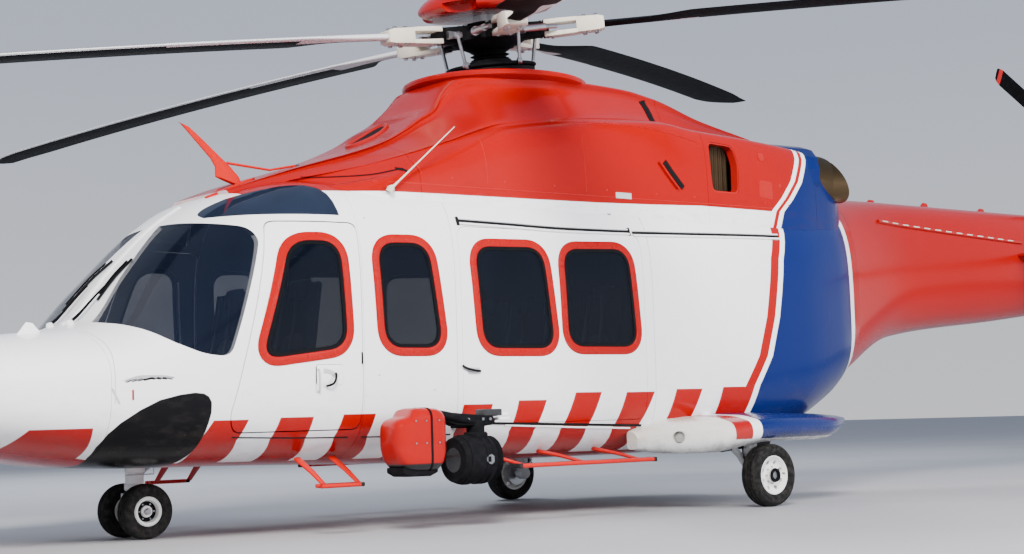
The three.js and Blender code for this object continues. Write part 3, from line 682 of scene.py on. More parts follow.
def hull_paint():
    """Gloss paint whose colours follow the machine's own stations."""
    m = Stuff("hull_paint", coat_rough=.06)
    color = m.mix(m.noise(1.3, 2) * .35, WHITE, (.74, .735, .76))
    color = m.mix(striped(m), color, RED)
    scuffs = m.noise(16, 8, (1, 1, 2.2), .75).over(.68, .03)
    patch = polygon_mask(m.x, m.z, NOSE_PATCH)
    color = m.mix(patch, color, m.mix(scuffs * .5, DARK, (.13, .11, .085)))
    m.give("Specular IOR Level", outside(patch) * .22 + .06)
    m.give("Coat Weight", outside(patch) * .1)
    roof = (m.z - table_curve(m.x, RED_EDGE)).over(0)
    inward = (m.x * CROWN_SLOPE + CROWN_OFFSET - m.y.math("ABSOLUTE")).over(0)
    crown = outside(m.x.over(CROWN_END)) * inward * m.z.over(2)
    color = m.mix(either(roof, crown) * m.x.over(RED_START), color, RED)
    edge = m.x - table_curve(m.z, [(z, x) for z, x in BLUE_EDGE[::-1]])
    for mark, paint in ((-.16, RED), (-.06, WHITE), (0, BLUE)):
        color = m.mix(edge.over(mark), color, paint)
    for station, paint in BOOM_RINGS:
        color = m.mix(m.x.over(station), color, paint)
    # Dark brown mottling that grows towards the bottom of the hull.
    low_dark_mottle = m.noise(6, 6, (1, 1, 2.4), .65).over(.62, .12)
    low = outside((m.z - .75).over(0, .35))
    color = m.mix(low_dark_mottle * low * .22, color, (.12, .095, .075))
    return m.done(color, m.noise(9, 5) * .12 + .17, m.noise(2.6, 2), .0035, .35)


def cowl_paint():
    """Red cowl paint with its white rings at the back and soft panel shade."""
    m = Stuff("cowl_paint", coat=.1, coat_rough=.06, specular=.26)
    color = m.mix(m.noise(2.2, 3) * .35, RED, (.24, .0006, .0002))
    red = (m.z - table_curve(m.x, RED_EDGE)).over(0) * m.x.over(RED_START)
    color = m.mix(red, WHITE, color)
    edge = m.x - table_curve(m.z, COWL_RINGS)
    for mark, paint in ((-.1, WHITE), (-.045, RED), (0, WHITE), (.055, BLUE)):
        color = m.mix(edge.over(mark), color, paint)
    # Dark red-brown mottling low on the cowl's sides, fading out upward from about z 2.3.
    low_dark_mottle = m.noise(7, 6, (1, 1, 3), .66).over(.58, .1)
    low = outside((m.z - 2.3).over(0, .25))
    color = m.mix(low_dark_mottle * low * .2, color, (.05, .012, .012))
    return m.done(color, m.noise(9, 5) * .14 + .16, m.noise(2.4, 2), .004, .4)


def sponson_paint_and_shade():
    m = Stuff("sponson_paint_and_shade", coat=.3, coat_rough=.08)
    # The sponson's white paint is drawn cream here and grey-white below z .5, both darker than the hull's
    # white: painted shade.
    color = m.mix(m.noise(3, 3) * .4, (.72, .69, .62), (.6, .56, .49))
    for station, paint in ((3.955, RED), (4.1, WHITE), (4.185, BLUE)):
        color = m.mix(m.x.over(station), color, paint)
    # Below z .5 the white paint is drawn grey-white: painted shade as well.
    color = m.mix(outside((m.z - .5).over(0)), color, (.7, .69, .67))
    # Dark brown mottling on the sponson's lowest few centimetres.
    low_dark_mottle = m.noise(8, 6, rough=.66).over(.55, .12)
    color = m.mix(low_dark_mottle * outside((m.z - .52).over(0, .06)) * .5, color, (.1, .085, .07))
    return m.done(color, m.noise(10, 4) * .15 + .2, m.noise(3, 3), .003, .3)


def pod_paint():
    m = Stuff("pod_paint", coat=.12, coat_rough=.08, specular=.28)
    low = outside((m.z + m.noise(8, 2) * .006).over(POD_LINE, .004))
    color = m.mix(low, m.mix(m.noise(5, 4) * .4, RED, (.3, .002, .001)), (.014, .013, .014))
    return m.done(color, m.noise(12, 5) * .2 + .24, m.noise(40, 3), .0008, .4)


def plain_paint(name, rgb, rough=.3, wear=(.1, .09, .08), coat=.16, spread=.2):
    m = Stuff(name, coat=coat, coat_rough=.08, specular=.3)
    worn = m.noise(14, 8, rough=.68).over(.66, .05)
    color = m.mix(m.noise(3, 3) * spread, rgb, scaled(rgb, .8))
    return m.done(m.mix(worn * .25, color, wear), m.noise(11, 4) * .16 + (rough - .06), m.noise(70, 3),
                  .0006, .4)


def metal(name, rgb, rough, scale=60):
    m = Stuff(name, metal=1)
    brushed = m.noise(scale, 5)
    return m.done(m.mix(brushed, scaled(rgb, .8), rgb), brushed * .25 + (rough - .1), brushed, .0006, .5)


def glass_stuff(name, tint=(.002, .003, .006), alpha=.52):
    m = Stuff(name, rough=.05, specular=.34)
    m.give("Alpha", m.noise(3, 4) * .12 + (alpha - .06))
    # Lighter streaks stretched upright across the tint: painted reflection on the glass.
    color = m.mix(m.noise(4, 5, (1, 1, .3), .6), tint, scaled(tint, 2.6))
    return m.done(color, None, m.noise(1.6, 2), .006, .25)


def rubber_stuff():
    m = Stuff("tyre_rubber", specular=.2)
    dust = m.noise(30, 8, rough=.7)
    color = m.mix(dust.over(.58, .14), (.008, .0078, .0078), (.04, .036, .032))
    return m.done(color, dust * .25 + .62, m.noise(160, 4), .0008, .6)


def weave_stuff(name, rgb, scale):
    m = Stuff(name, sheen=.35, specular=.25, rough=.88)
    threads = m.tree.nodes.new("ShaderNodeTexWave")
    threads.bands_direction = "DIAGONAL"
    threads.inputs["Scale"].default_value = scale
    threads.inputs["Distortion"].default_value = .6
    m.tree.links.new(m.place, threads.inputs["Vector"])
    lines = Sum(m.tree, threads.outputs["Fac"])
    color = m.mix(lines * .5 + m.noise(9, 4) * .4, rgb, scaled(rgb, 2.2))
    return m.done(color, None, lines + m.noise(300, 2), .0008, .6)


def composite_stuff(name, rgb, rough=.45, streak=.4):
    """Dark composite parts, with fine streaks."""
    m = Stuff(name, specular=.12, ior=1.15)
    lines = m.noise(26, 8, rough=.7)
    color = m.mix(lines.over(.6, .12) * streak, rgb, scaled(rgb, 2.4, .004))
    return m.done(color, lines * .3 + (rough - .12), m.noise(90, 4), .0007, .5)


def blade_paint():
    """Black paint of the blades, with fine streaks."""
    m = Stuff("blade_paint", specular=.14, ior=1.12)
    lines = m.noise(20, 8, rough=.7)
    color = m.mix(lines.over(.6, .12) * .4, (.003, .003, .0035), (.012, .012, .014))
    return m.done(color, lines * .3 + .3, m.noise(60, 4), .0008, .5)


def mesh_stuff():
    """Woven wire of the intake screens."""
    m = Stuff("intake_mesh", metal=.7)
    weave = m.tree.nodes.new("ShaderNodeTexBrick")
    weave.inputs["Scale"].default_value = 38
    m.tree.links.new(m.place, weave.inputs["Vector"])
    wires = Sum(m.tree, weave.outputs["Fac"])
    return m.done(m.mix(wires, (.05, .03, .015), (.2, .13, .07)), wires * .2 + .4, wires, .004, .8)


PAINT = hull_paint()
COWL_PAINT = cowl_paint()
SPONSON_PAINT_AND_SHADE = sponson_paint_and_shade()
POD_PAINT = pod_paint()
WHITE_PAINT = plain_paint("white_paint", WHITE, .26)
CREAM_PAINT = plain_paint("cream_paint", (.66, .6, .5), .4, spread=.5)
RED_PAINT = plain_paint("red_paint", RED, .26, (.25, .02, .015))
DEEP_RED = plain_paint("deep_red_paint", (.36, .006, .005), .3)
STEP_RED = plain_paint("step_red", (.5, .004, .001), .34, (.12, .05, .04))
BLUE_PAINT = plain_paint("blue_paint", BLUE, .28)
GASKET = plain_paint("gasket_rubber", (.003, .003, .0035), .6, (.012, .012, .012), coat=0)
# Black of the sheet in each wheel well: painted shade.
WELL_SHADE_BLACK = plain_paint("well_painted_shade", (.02, .02, .021), .6, coat=0)
SLOT_BLACK = plain_paint("slot_black", (.006, .006, .006), .7, (.02, .02, .02), coat=0)
DARK_FITTING = plain_paint("fitting_paint", (.03, .03, .032), .5, (.3, .3, .3), coat=0)
GREY_PAINT = plain_paint("gear_paint", (.52, .53, .54), .4, spread=.35)
RAIL_GREY = plain_paint("rail_grey", (.5, .5, .51), .4, spread=.4)
WHEEL_PAINT = plain_paint("wheel_paint", (.8, .79, .76), .35, (.12, .1, .08), spread=.3)
BLADE_PAINT = blade_paint()
BLADE_EDGE = plain_paint("blade_edge", (.62, .62, .63), .42, spread=.3, coat=.1)
GLASS = glass_stuff("clear_pane")
SCREEN_GLASS = glass_stuff("windscreen_pane", (.004, .006, .013), .38)
DARK_GLASS = glass_stuff("dark_pane", (.006, .009, .018), .9)
LAMP_GLASS = glass_stuff("lamp_lens", (.3, .3, .29), .6)
LAMP_DARK = glass_stuff("searchlight_lens", (.012, .012, .013), .95)
SCREEN = glass_stuff("display_glass", (.004, .006, .01), .97)
RUBBER = rubber_stuff()
STEEL = metal("steel", (.55, .56, .58), .34)
ALLOY = metal("alloy", (.72, .73, .74), .4)
BRONZE = metal("burnt_metal", (.17, .115, .06), .38, 18)
INTAKE_MESH = mesh_stuff()
MOULDED = composite_stuff("moulded_black", (.007, .007, .008), .6)
LINER = composite_stuff("cabin_liner", (.05, .052, .058), .7, .2)
GRIP = composite_stuff("step_grip", (.02, .02, .021), .85, .3)
SHELL = composite_stuff("seat_shell", (.022, .023, .026), .5)
PANEL_BLACK = composite_stuff("panel_black", (.008, .008, .009), .8, .15)
CUSHION_CLOTH = weave_stuff("cushion_cloth", (.012, .013, .018), 520)
PIPING = weave_stuff("piping_cloth", (.008, .008, .009), 900)
BELT = weave_stuff("belt_webbing", (.02, .02, .022), 700)


# Hull panels, doors and glass

NOSE_JOINT, CABIN_FRONT, CABIN_REAR, BOOM_FRONT, BOOM_END = -.62, 1.05, 3.6, 6.4, 10.1
SEAM = .003
DOOR_GAP = .007
PANE_GAP = .001
LIGHT_RADIUS = .15
PANES = (
    # name, window, node it stands for, its stations, glass
    ("windscreen", "windscreen", "windscreen", -.7, .5, SCREEN_GLASS),
    ("eyebrow", "eyebrow", "eyebrow_window", .18, 1, DARK_GLASS),
    ("crew_light", "crew", "crew_window", .25, 1, GLASS),
    ("fixed_light", "fixed", "cabin_window", 1.1, 1.75, GLASS),
    ("front_light", "door_front", "door_window_front", 1.9, 2.75, GLASS),
    ("rear_light", "door_rear", "door_window_rear", 2.7, 3.5, GLASS),
)


def stations(x0, x1, step=.06):
    count = max(2, int(round((x1 - x0) / step)) + 1)
    return [x0 + (x1 - x0) * k / (count - 1) for k in range(count)]


def wall(name, x0, x1, depth=SKIN, step=.06):
    """A closed band of the hull's skin of that thickness, between two stations."""
    places = stations(x0, x1, step)
    outer = [hull_ring(x) for x in places]
    inner = [hull_ring(x, depth) for x in places]
    return loft(outer + inner[::-1] + outer[:1], False, name=name)


def side_tool(outline, side):
    return prism(outline, side * .02, side * 1.4)


def eyebrow_tool(side, margin=0):
    corners = [(x, side * y) for x, y in inset(EYEBROW, margin)]
    return prism(rounded(corners, .12), EYEBROW_SILL + margin, 2.6, "z")


def windscreen_tool(side, margin=0):
    (x0, half0), (x1, half1) = POST
    post = [(x0, -half0), (x1, -half1), (x1 + .4, -half1), (x1 + .4, half1), (x1, half1), (x0, half0)]
    tool = side_tool(rounded(inset(LIGHTS["windscreen"], margin), .07, 6, .05), side)
    return carve(tool, prism(post, .9, 2.4, "z"))


def light_tool(light, side, margin=0):
    """The solid that cuts one window, smaller by a margin."""
    if light == "windscreen":
        return windscreen_tool(side, margin)
    if light == "eyebrow":
        return eyebrow_tool(side, margin)
    return side_tool(rounded(inset(LIGHTS[light], margin), LIGHT_RADIUS - margin, 10, .08), side)


def skin_piece(obj, paint, body, node, centre=1.2, slack=.15):
    """A shell in its livery; its faces that look inward take the liner's finish."""
    clad(obj, paint, LINER)
    for face in obj.data.polygons:
        c = face.center - SHIFT
        if face.normal.y * c.y + face.normal.z * (c.z - centre) < -slack * hypot(c.y, c.z - centre):
            face.material_index = 1
    return dress(obj, None, body, node)


nose_stations = [NOSE_TIP + (NOSE_JOINT - SEAM - NOSE_TIP) * (k / 34) ** 1.7 for k in range(35)]
nose = loft([hull_ring(max(x, NOSE_TIP + .001)) for x in nose_stations], name="nose_skin")
dress(nose, PAINT, "airframe", "nose")

cockpit = wall("cockpit_skin", NOSE_JOINT, CABIN_FRONT - SEAM / 2)
for _, side in SIDES:
    door_tool = side_tool(rounded(CREW_DOOR, .06), side)
    carve(cockpit, light_tool("windscreen", side), door_tool, light_tool("eyebrow", side))
skin_piece(cockpit, PAINT, "airframe", "cockpit_frame")

cabin = wall("cabin_skin", CABIN_FRONT + SEAM / 2, CABIN_REAR - SEAM / 2)
for _, side in SIDES:
    carve(cabin, light_tool("fixed", side), side_tool(rounded(CABIN_DOOR, .09), side))
skin_piece(cabin, PAINT, "airframe", "cabin_frame")

rear = wall("rear_skin", CABIN_REAR + SEAM / 2, BOOM_FRONT - SEAM / 2, SKIN * .6)
skin_piece(rear, PAINT, "airframe", "rear_fuselage")

for label, side in SIDES:
    crew_door = "crew_door_" + label
    door = wall("crew_door_skin_" + label, .08, 1.06)
    carve(door, side_tool(rounded(inset(CREW_DOOR, DOOR_GAP), .055), side), operation="INTERSECT")
    carve(door, light_tool("crew", side))
    skin_piece(door, PAINT, crew_door, crew_door)
    slide = wall("cabin_door_skin_" + label, 1.8, 3.55)
    carve(slide, side_tool(rounded(inset(CABIN_DOOR, SEAM), .087), side), operation="INTERSECT")
    carve(slide, light_tool("door_front", side), light_tool("door_rear", side))
    skin_piece(slide, PAINT, "airframe", "cabin_door_" + label)
    for piece, light, node, x0, x1, glass in PANES:
        pane = wall(f"{piece}_pane_{label}", x0, x1, PANE)
        carve(pane, light_tool(light, side, PANE_GAP), operation="INTERSECT")
        dress(pane, glass, crew_door if light == "crew" else "airframe", f"{node}_{label}")


# Strips that lie on the hull: window surrounds and gaskets

SURROUND, OVERLAP, SEAL_INSET = .056, .01, .034


def on_hull(x, z, side, proud=0):
    p = Vector((x, side * hull_half(x, z), z))
    return p + hull_normal(x, z, side) * proud


def ring_strip(name, outline, side, width, proud, drop=.004):
    """A band round an outline, on the hull's skin: its profile runs from the inner edge to the outer."""
    profile = [(0, -drop), (0, proud * .6), (.12, proud), (.88, proud), (1, proud * .5), (1, -.002)]
    rings = [[on_hull(x, z, side, h) for x, z in inset(outline, -width * u)] for u, h in profile]
    return loft(rings, False, name=name)


def smooth_outline(light, margin):
    """A window's outline with evenly spread points, for offsets."""
    points = rounded(inset(LIGHTS[light], margin), LIGHT_RADIUS - margin, 10)
    clean = [points[0]]
    for p in points[1:]:
        if hypot(p[0] - clean[-1][0], p[1] - clean[-1][1]) > .004:
            clean.append(p)
    dense = []
    for a, b in zip(clean, clean[1:] + clean[:1]):
        count = max(1, int(hypot(b[0] - a[0], b[1] - a[1]) / .05))
        dense += [(a[0] + (b[0] - a[0]) * k / count, a[1] + (b[1] - a[1]) * k / count)
                  for k in range(count)]
    return dense


for label, side in SIDES:
    for light in WINDOW_FRAMES:
        body = "crew_door_" + label if light == "crew" else "airframe"
        band = ring_strip(f"{light}_surround_{label}", smooth_outline(light, OVERLAP), side, SURROUND, .006)
        dress(band, RED_PAINT, body)
        line = smooth_outline(light, SEAL_INSET)
        seal = ring_strip(f"{light}_seal_{label}", line, side, .027, .0048, .012)
        dress(seal, GASKET, body)


# Upper deck

COWL_WALL = .03
COWL_FRONT, COWL_END = .5, 6.44
COWL_JOINTS = (1.64, 4.35, 5.7)
MAST_OPENING = .4
MAST_FOOT = Vector((3.02, 0, 3.66))
TILT, LEAN, AZIMUTH, DROOP = radians(6.75), radians(2), radians(173), .25
MAST_TURN = Matrix.Rotation(LEAN, 4, "X") @ Matrix.Rotation(-TILT, 4, "Y")
MAST_AXIS = MAST_TURN @ Vector(UP)
INTAKE = [(4.4, 2.4), (4.7, 2.4), (4.72, 2.64), (4.68, 2.79), (4.4, 2.8)]
EXHAUST_FRONT, EXHAUST_BACK, EXHAUST_RADIUS, EXHAUST_WALL = (5.76, .68, 2.644), (6.27, .81, 2.62), .19, .012
EXHAUST_MOUTH = [(5.85, 2.9), (6.6, 2.9), (6.6, 2.3), (6.25, 2.3)]
RIM = [(.45, 0), (.66, .02), (.69, .028), (.708, .022), (.716, .006), (.712, -.014), (.695, -.028),
       (.62, -.055), (.52, -.1), (.45, -.13), (.45, 0)]


def exhaust_line(side):
    """Start, direction and length of one exhaust."""
    start, end = (Vector((x, side * y, z)) for x, y, z in (EXHAUST_FRONT, EXHAUST_BACK))
    return start, (end - start).normalized(), (end - start).length


def hull_block(x0, x1, step):
    """The hull as a solid, a little oversize, to fit other parts over it."""
    return loft([hull_ring(x, -.0005) for x in stations(x0, x1, step)])


def cowl_panel(name, x0, x1, front=-.005, back=.005):
    """A closed shell between two stations of the upper deck, fitted over the hull."""
    shell = loft([cowl_ring(x) for x in stations(x0, x1, .05)], name=name)
    hollow = loft([cowl_ring(x, COWL_WALL) for x in stations(x0 + front, x1 + back, .05)])
    carve(shell, hollow)
    return carve(shell, deck_block, keep_tools=True)


def cowl_piece(obj, node):
    return skin_piece(obj, COWL_PAINT, "airframe", node, 2.2, .25)


deck_block = hull_block(.2, 6.7, .08)
fairing = cowl_panel("forward_fairing_skin", COWL_FRONT, COWL_JOINTS[0] - SEAM / 2, .03)
cowl_piece(fairing, "forward_fairing")

mast_cowl = cowl_panel("mast_fairing_skin", COWL_JOINTS[0] + SEAM / 2, COWL_JOINTS[1] - SEAM / 2)
carve(mast_cowl, turned([(MAST_OPENING, 0), (MAST_OPENING, .9)], MAST_FOOT + MAST_AXIS * -.9, MAST_AXIS))
cowl_piece(mast_cowl, "mast_fairing")

engine_cowl = cowl_panel("engine_cowl_skin", COWL_JOINTS[1] + SEAM / 2, COWL_JOINTS[2] - SEAM / 2)
for _, side in SIDES:
    carve(engine_cowl, prism(rounded(INTAKE, .05), side * .8, side * 1.1))
cowl_piece(engine_cowl, "engine_cowl")

rear_cowl = cowl_panel("rear_cowl_skin", COWL_JOINTS[2] + SEAM / 2, COWL_END, -.005, -.03)
for _, side in SIDES:
    start, way, _ = exhaust_line(side)
    carve(rear_cowl, turned([(EXHAUST_RADIUS + .001, -.015), (EXHAUST_RADIUS + .001, .7)], start, way))
cowl_piece(rear_cowl, "rear_cowl")
discard(deck_block)

rim = turned(RIM, (3.07, 0, 3.232), UP, 96, name="mast_rim")
dress(rim, COWL_PAINT, "airframe")


# Tail boom, fin and stabiliser

FIN = np.array([
    # z, leading, trailing, half
    [1.48, 10.35, 10.8, .025],
    [1.8, 10.15, 10.95, .09],
    [2.56, 10.25, 11.35, .11],
    [3.5, 10.9, 11.76, .095],
    [4.33, 11.33, 11.805, .045],
])
FOIL = ((0, 0), (.012, .24), (.04, .45), (.1, .68), (.2, .88), (.35, 1), (.52, .89), (.7, .64), (.86, .34),
        (1, .06))
TAIL_X, TAIL_OUT, TAIL_Z, TAIL_AZIMUTH = 11.45, .43, 3.63, radians(25)
TAIL_GEAR = [(0, -.22), (.06, -.215), (.115, -.185), (.143, -.09), (.15, 0), (.14, .16), (.13, .23),
             (.1, .255), (.04, .27), (.04, TAIL_OUT - .06), (0, TAIL_OUT - .06)]
WING_HALF, WING_HEIGHT = 2.1, 2.15
WING_ROOT, WING_TIP = (9.27, 10.025, .046), (9.52, 9.96, .028)


def foil(leading, trailing, half):
    """A symmetric section as [along, thickness] pairs."""
    chord = trailing - leading
    upper = [(leading + u * chord, v * half) for u, v in FOIL]
    return upper + [(x, -t) for x, t in upper[:0:-1]]


boom = wall("tail_boom_skin", BOOM_FRONT + SEAM / 2, BOOM_END - SEAM / 2, .02, .1)
skin_piece(boom, PAINT, "airframe", "tail_boom", 2.05)

fin_at = through(FIN)
fin = loft([[(x, t, z) for x, t in foil(*fin_at(z))] for z in np.linspace(FIN[0, 0], FIN[-1, 0], 34)],
           name="tail_fin_skin")
carve(fin, loft([hull_ring(x) for x in stations(BOOM_END + SEAM / 2, 10.59, .07)]), operation="UNION")
carve(fin, turned(TAIL_GEAR, (TAIL_X, .06, TAIL_Z), STARBOARD, 40), operation="UNION")
dress(fin, PAINT, "airframe", "tail_fin")

wing_rings = []
for y in np.linspace(-WING_HALF, WING_HALF, 43):
    t = abs(y) / WING_HALF
    leading, trailing, half = (a + (b - a) * t for a, b in zip(WING_ROOT, WING_TIP))
    round_off = max(0, (abs(y) - 1.98) / .12) ** 2
    outline = foil(leading + .07 * round_off, trailing - .05 * round_off, half * (1 - .5 * round_off))
    wing_rings.append([(x, y, WING_HEIGHT + h) for x, h in outline])
dress(loft(wing_rings, name="stabiliser_skin"), RED_PAINT, "airframe", "stabiliser")


# Rotor head, cap and blades, in a frame whose z is the mast and whose x points along the first blade

BLADE_COUNT = 5
ROTOR_FRAME = Matrix.Translation(MAST_FOOT) @ MAST_TURN @ Matrix.Rotation(AZIMUTH, 4, "Z")
CAP_RADIUS, CAP_BASE, CAP_RISE = .53, .1905, .2
LINK_EYE = [(.012, -.02), (.026, -.016), (.026, .016), (.012, .02)]


def horn(rows):
    """The pitch horn, off to one side of the arm."""
    obj = slab(rows, 0)
    obj.data.transform(Matrix.Translation((0, .1, -.01)))
    return obj


# Parts of the head, as rows for built()
HUB = (
    (STEEL, turned, [(.085, -.52), (.085, .06), (.1, .06), (.1, .15)]),
    (MOULDED, turned, [(.16, -.12), (.2, -.1), (.25, -.085), (.3, -.05), (.3, .0), (.26, .03), (.2, .05),
                       (.2, .085), (.12, .1)], ORIGIN, UP, 60),
    (MOULDED, turned, [(.1, -.27), (.34, -.27), (.35, -.262), (.35, -.25), (.33, -.242), (.18, -.236),
                       (.16, -.2), (.1, -.2)], ORIGIN, UP, 60),
    (GASKET, turned, [(.11, -.2), (.15, -.19), (.12, -.175), (.155, -.16), (.12, -.145), (.15, -.13),
                      (.11, -.12)], ORIGIN, UP, 40),
)
ARM = (
    (MOULDED, slab, [(.17, .1, -.07, .07), (.3, .085, -.06, .062), (.42, .07, -.058, .058)]),
    (GASKET, slab, [(.38, .062, -.05, .05), (.47, .066, -.055, .055)]),
    (GASKET, turned, [(.045, .4), (.07, .405), (.07, .42), (.058, .425), (.072, .43), (.072, .445),
                      (.058, .45), (.07, .455), (.07, .47), (.045, .475)], ORIGIN, AFT, 28),
    (CREAM_PAINT, slab, [(.44, .075, .026, .066), (.56, .09, .03, .066), (.7, .094, .03, .062)]),
    (CREAM_PAINT, slab, [(.44, .075, -.066, -.026), (.56, .09, -.066, -.03), (.7, .094, -.062, -.03)]),
    (CREAM_PAINT, slab, [(.69, .094, -.06, .06), (.86, .094, -.056, .056), (.905, .08, -.045, .045)]),
    (ALLOY, tube, [(.17, -.15, .0), (.3, -.165, .002), (.3, -.165, .002), (.46, -.135, .002)],
     [.036, .036, .027, .027], 20),
    (STEEL, tube, [(.45, -.138, 0), (.54, -.11, 0)], .018),
    (STEEL, horn, [(.3, .02, -.02, .02), (.42, .026, -.03, .03)]),
    (STEEL, tube, [(.31, .15, -.262), (.318, .15, -.235), (.355, .15, -.045), (.36, .15, -.02)],
     [.02, .0135, .0135, .02], 14),
    (ALLOY, turned, LINK_EYE, (.36, .15, -.015), STARBOARD, 16),
    (ALLOY, turned, LINK_EYE, (.31, .15, -.25), STARBOARD, 16),
    (STEEL, box, .335, .39, .05, .172, -.028, .006, .006, 2),
    (STEEL, bolts, [(x, y, .057) for x in (.75, .84) for y in (-.05, .05)], UP, .018, .016),
    (STEEL, bolts, [(x, y, -.057) for x in (.75, .84) for y in (-.05, .05)], (0, 0, -1), .018, .016),
    (STEEL, bolts, [(.22, y, .07) for y in (-.05, .05)], UP, .014, .014),
    (STEEL, bolts, [(.5, y, -.064) for y in (-.045, .045)], (0, 0, -1), .013, .012),
)
CAP = [(0, .1505), (.3, .1505), (.44, .1505), (.487, .158), (.515, .175), (.529, .192)]
BLADE_ROOT, BLADE_TIP = .9005, 6.9
BLADE = np.array([
    # r, leading, trailing, thickness
    [BLADE_ROOT, .07, -.07, .06],
    [1.05, .075, -.08, .057],
    [1.25, .09, -.11, .055],
    [1.6, .13, -.32, .052],
    [1.9, .13, -.32, .05],
    [6.15, .13, -.32, .04],
    [6.45, .1, -.31, .032],
    [6.6, .06, -.3, .026],
    [6.78, -.03, -.299, .018],
    [BLADE_TIP, -.12, -.298, .012],
])
BLADE_SECTION = ((0, 0), (.01, .13), (.03, .22), (.08, .32), (.16, .42), (.3, .5), (.48, .44), (.65, .34),
                 (.85, .18), (1, .06), (1, -.06), (.85, -.15), (.65, -.28), (.48, -.38), (.3, -.42),
                 (.16, -.36), (.08, -.28), (.03, -.18), (.01, -.1))
PALE_EDGE = ((.03, 6.7), (.34, 1.66), (.1, 2.6))
TAIL_BAND = (1.18, 1.3)
TAIL_ROWS = ((.11, .04, .03), (.22, .045, .03), (.3, .06, .028), (.43, .095, .026), (.8, .095, .021),
             (1.26, .095, .016), (1.32, .08, .011), (1.35, .06, .008))
TAIL_HUB = [(.041, -.06), (.1, -.06), (.15, -.045), (.15, .03), (.11, .045), (.08, .06), (.03, .06),
            (0, .058), (0, .012), (.041, .012), (.041, -.06)]
CUFF = (
    (STEEL, slab, [(.1, .05, -.022, .022), (.26, .055, -.022, .022)]),
    (ALLOY, bolts, [(x, y, .022) for x in (.16, .22) for y in (-.02, .02)], UP, .009, .008),
)


def placed(obj, matrix):
    """The mesh moved by a matrix of the station frame."""
    move = Matrix.Translation(SHIFT)
    obj.data.transform(move @ matrix @ move.inverted())
    obj.data.update()
    return obj


def arm_frame(i):
    return ROTOR_FRAME @ Matrix.Rotation(2 * pi * i / BLADE_COUNT, 4, "Z")


def blade_ring(r, leading, trailing, thick, hang=0):
    chord = leading - trailing
    return [(r, leading - chord * u, v * thick - hang) for u, v in BLADE_SECTION]


head_parts = [placed(part, ROTOR_FRAME) for part in built(HUB)]
for i in range(BLADE_COUNT):
    head_parts += [placed(part, arm_frame(i)) for part in built(ARM)]
assembly("rotor_head_set", head_parts, "main_rotor", "rotor_head")

dome = [(CAP_RADIUS * cos(t), CAP_BASE + CAP_RISE * sin(t)) for t in np.linspace(.06, pi / 2, 16)]
cap = turned(CAP + dome, segments=72, name="rotor_cap_skin")
for i in range(BLADE_COUNT):
    notch = turned([(.15, 0), (.15, .12)], (.56, 0, .1), UP, 24)
    carve(cap, placed(notch, Matrix.Rotation(2 * pi * (i + .5) / BLADE_COUNT, 4, "Z")))
dress(placed(cap, ROTOR_FRAME), RED_PAINT, "main_rotor", "rotor_cap")

blade_at = through(BLADE)
blade_stations = [*np.linspace(BLADE_ROOT, 2, 16), *np.linspace(2.2, 6.1, 18),
                  *np.linspace(6.2, BLADE_TIP, 15)]
for i in range(BLADE_COUNT):
    rings = [blade_ring(r, *blade_at(r), DROOP * (r / BLADE_TIP) ** 2) for r in blade_stations]
    blade = loft(rings, smooth=25, name=f"rotor_blade_{i + 1}_skin")
    clad(blade, BLADE_PAINT, BLADE_EDGE)
    for face in blade.data.polygons:
        c = face.center - SHIFT
        leading, trailing, _ = blade_at(c.x)
        u = (leading - c.y) / (leading - trailing)
        if any(u < share and c.x < reach for share, reach in PALE_EDGE):
            face.material_index = 1
    placed(blade, arm_frame(i))
    dress(blade, None, "main_rotor", f"rotor_blade_{i + 1}")

tail_place = Matrix.Translation((TAIL_X, TAIL_OUT, TAIL_Z)) @ Matrix.Rotation(-pi / 2, 4, "X")
tail_parts = [placed(clad(turned(TAIL_HUB, segments=40), MOULDED), tail_place)]
for k in range(4):
    blade = clad(loft([blade_ring(r, half, -half, thick) for r, half, thick in TAIL_ROWS]), BLADE_PAINT,
                 RED_PAINT)
    for face in blade.data.polygons:
        face.material_index = 1 if TAIL_BAND[0] < face.center.x - SHIFT.x < TAIL_BAND[1] else 0
    turn = tail_place @ Matrix.Rotation(TAIL_AZIMUTH + k * pi / 2, 4, "Z")
    tail_parts += [placed(part, turn) for part in (blade, *built(CUFF))]
assembly("tail_rotor_set", tail_parts, "tail_rotor", "tail_rotor")


# Exhausts

for label, side in SIDES:
    start, way, length = exhaust_line(side)
    r, bore = EXHAUST_RADIUS, EXHAUST_RADIUS - EXHAUST_WALL
    profile = [(0, 0), (r, 0), (r, length * .4), (r - .004, length * .42), (r, length * .44), (r, length),
               (bore, length), (bore, .13), (0, .13)]
    pipe = turned(profile, start, way, 56, name=f"exhaust_pipe_{label}")
    carve(pipe, prism(EXHAUST_MOUTH, side * .3, side * 1.2))
    dress(pipe, BRONZE, "airframe", f"exhaust_{label}")


# Sponsons

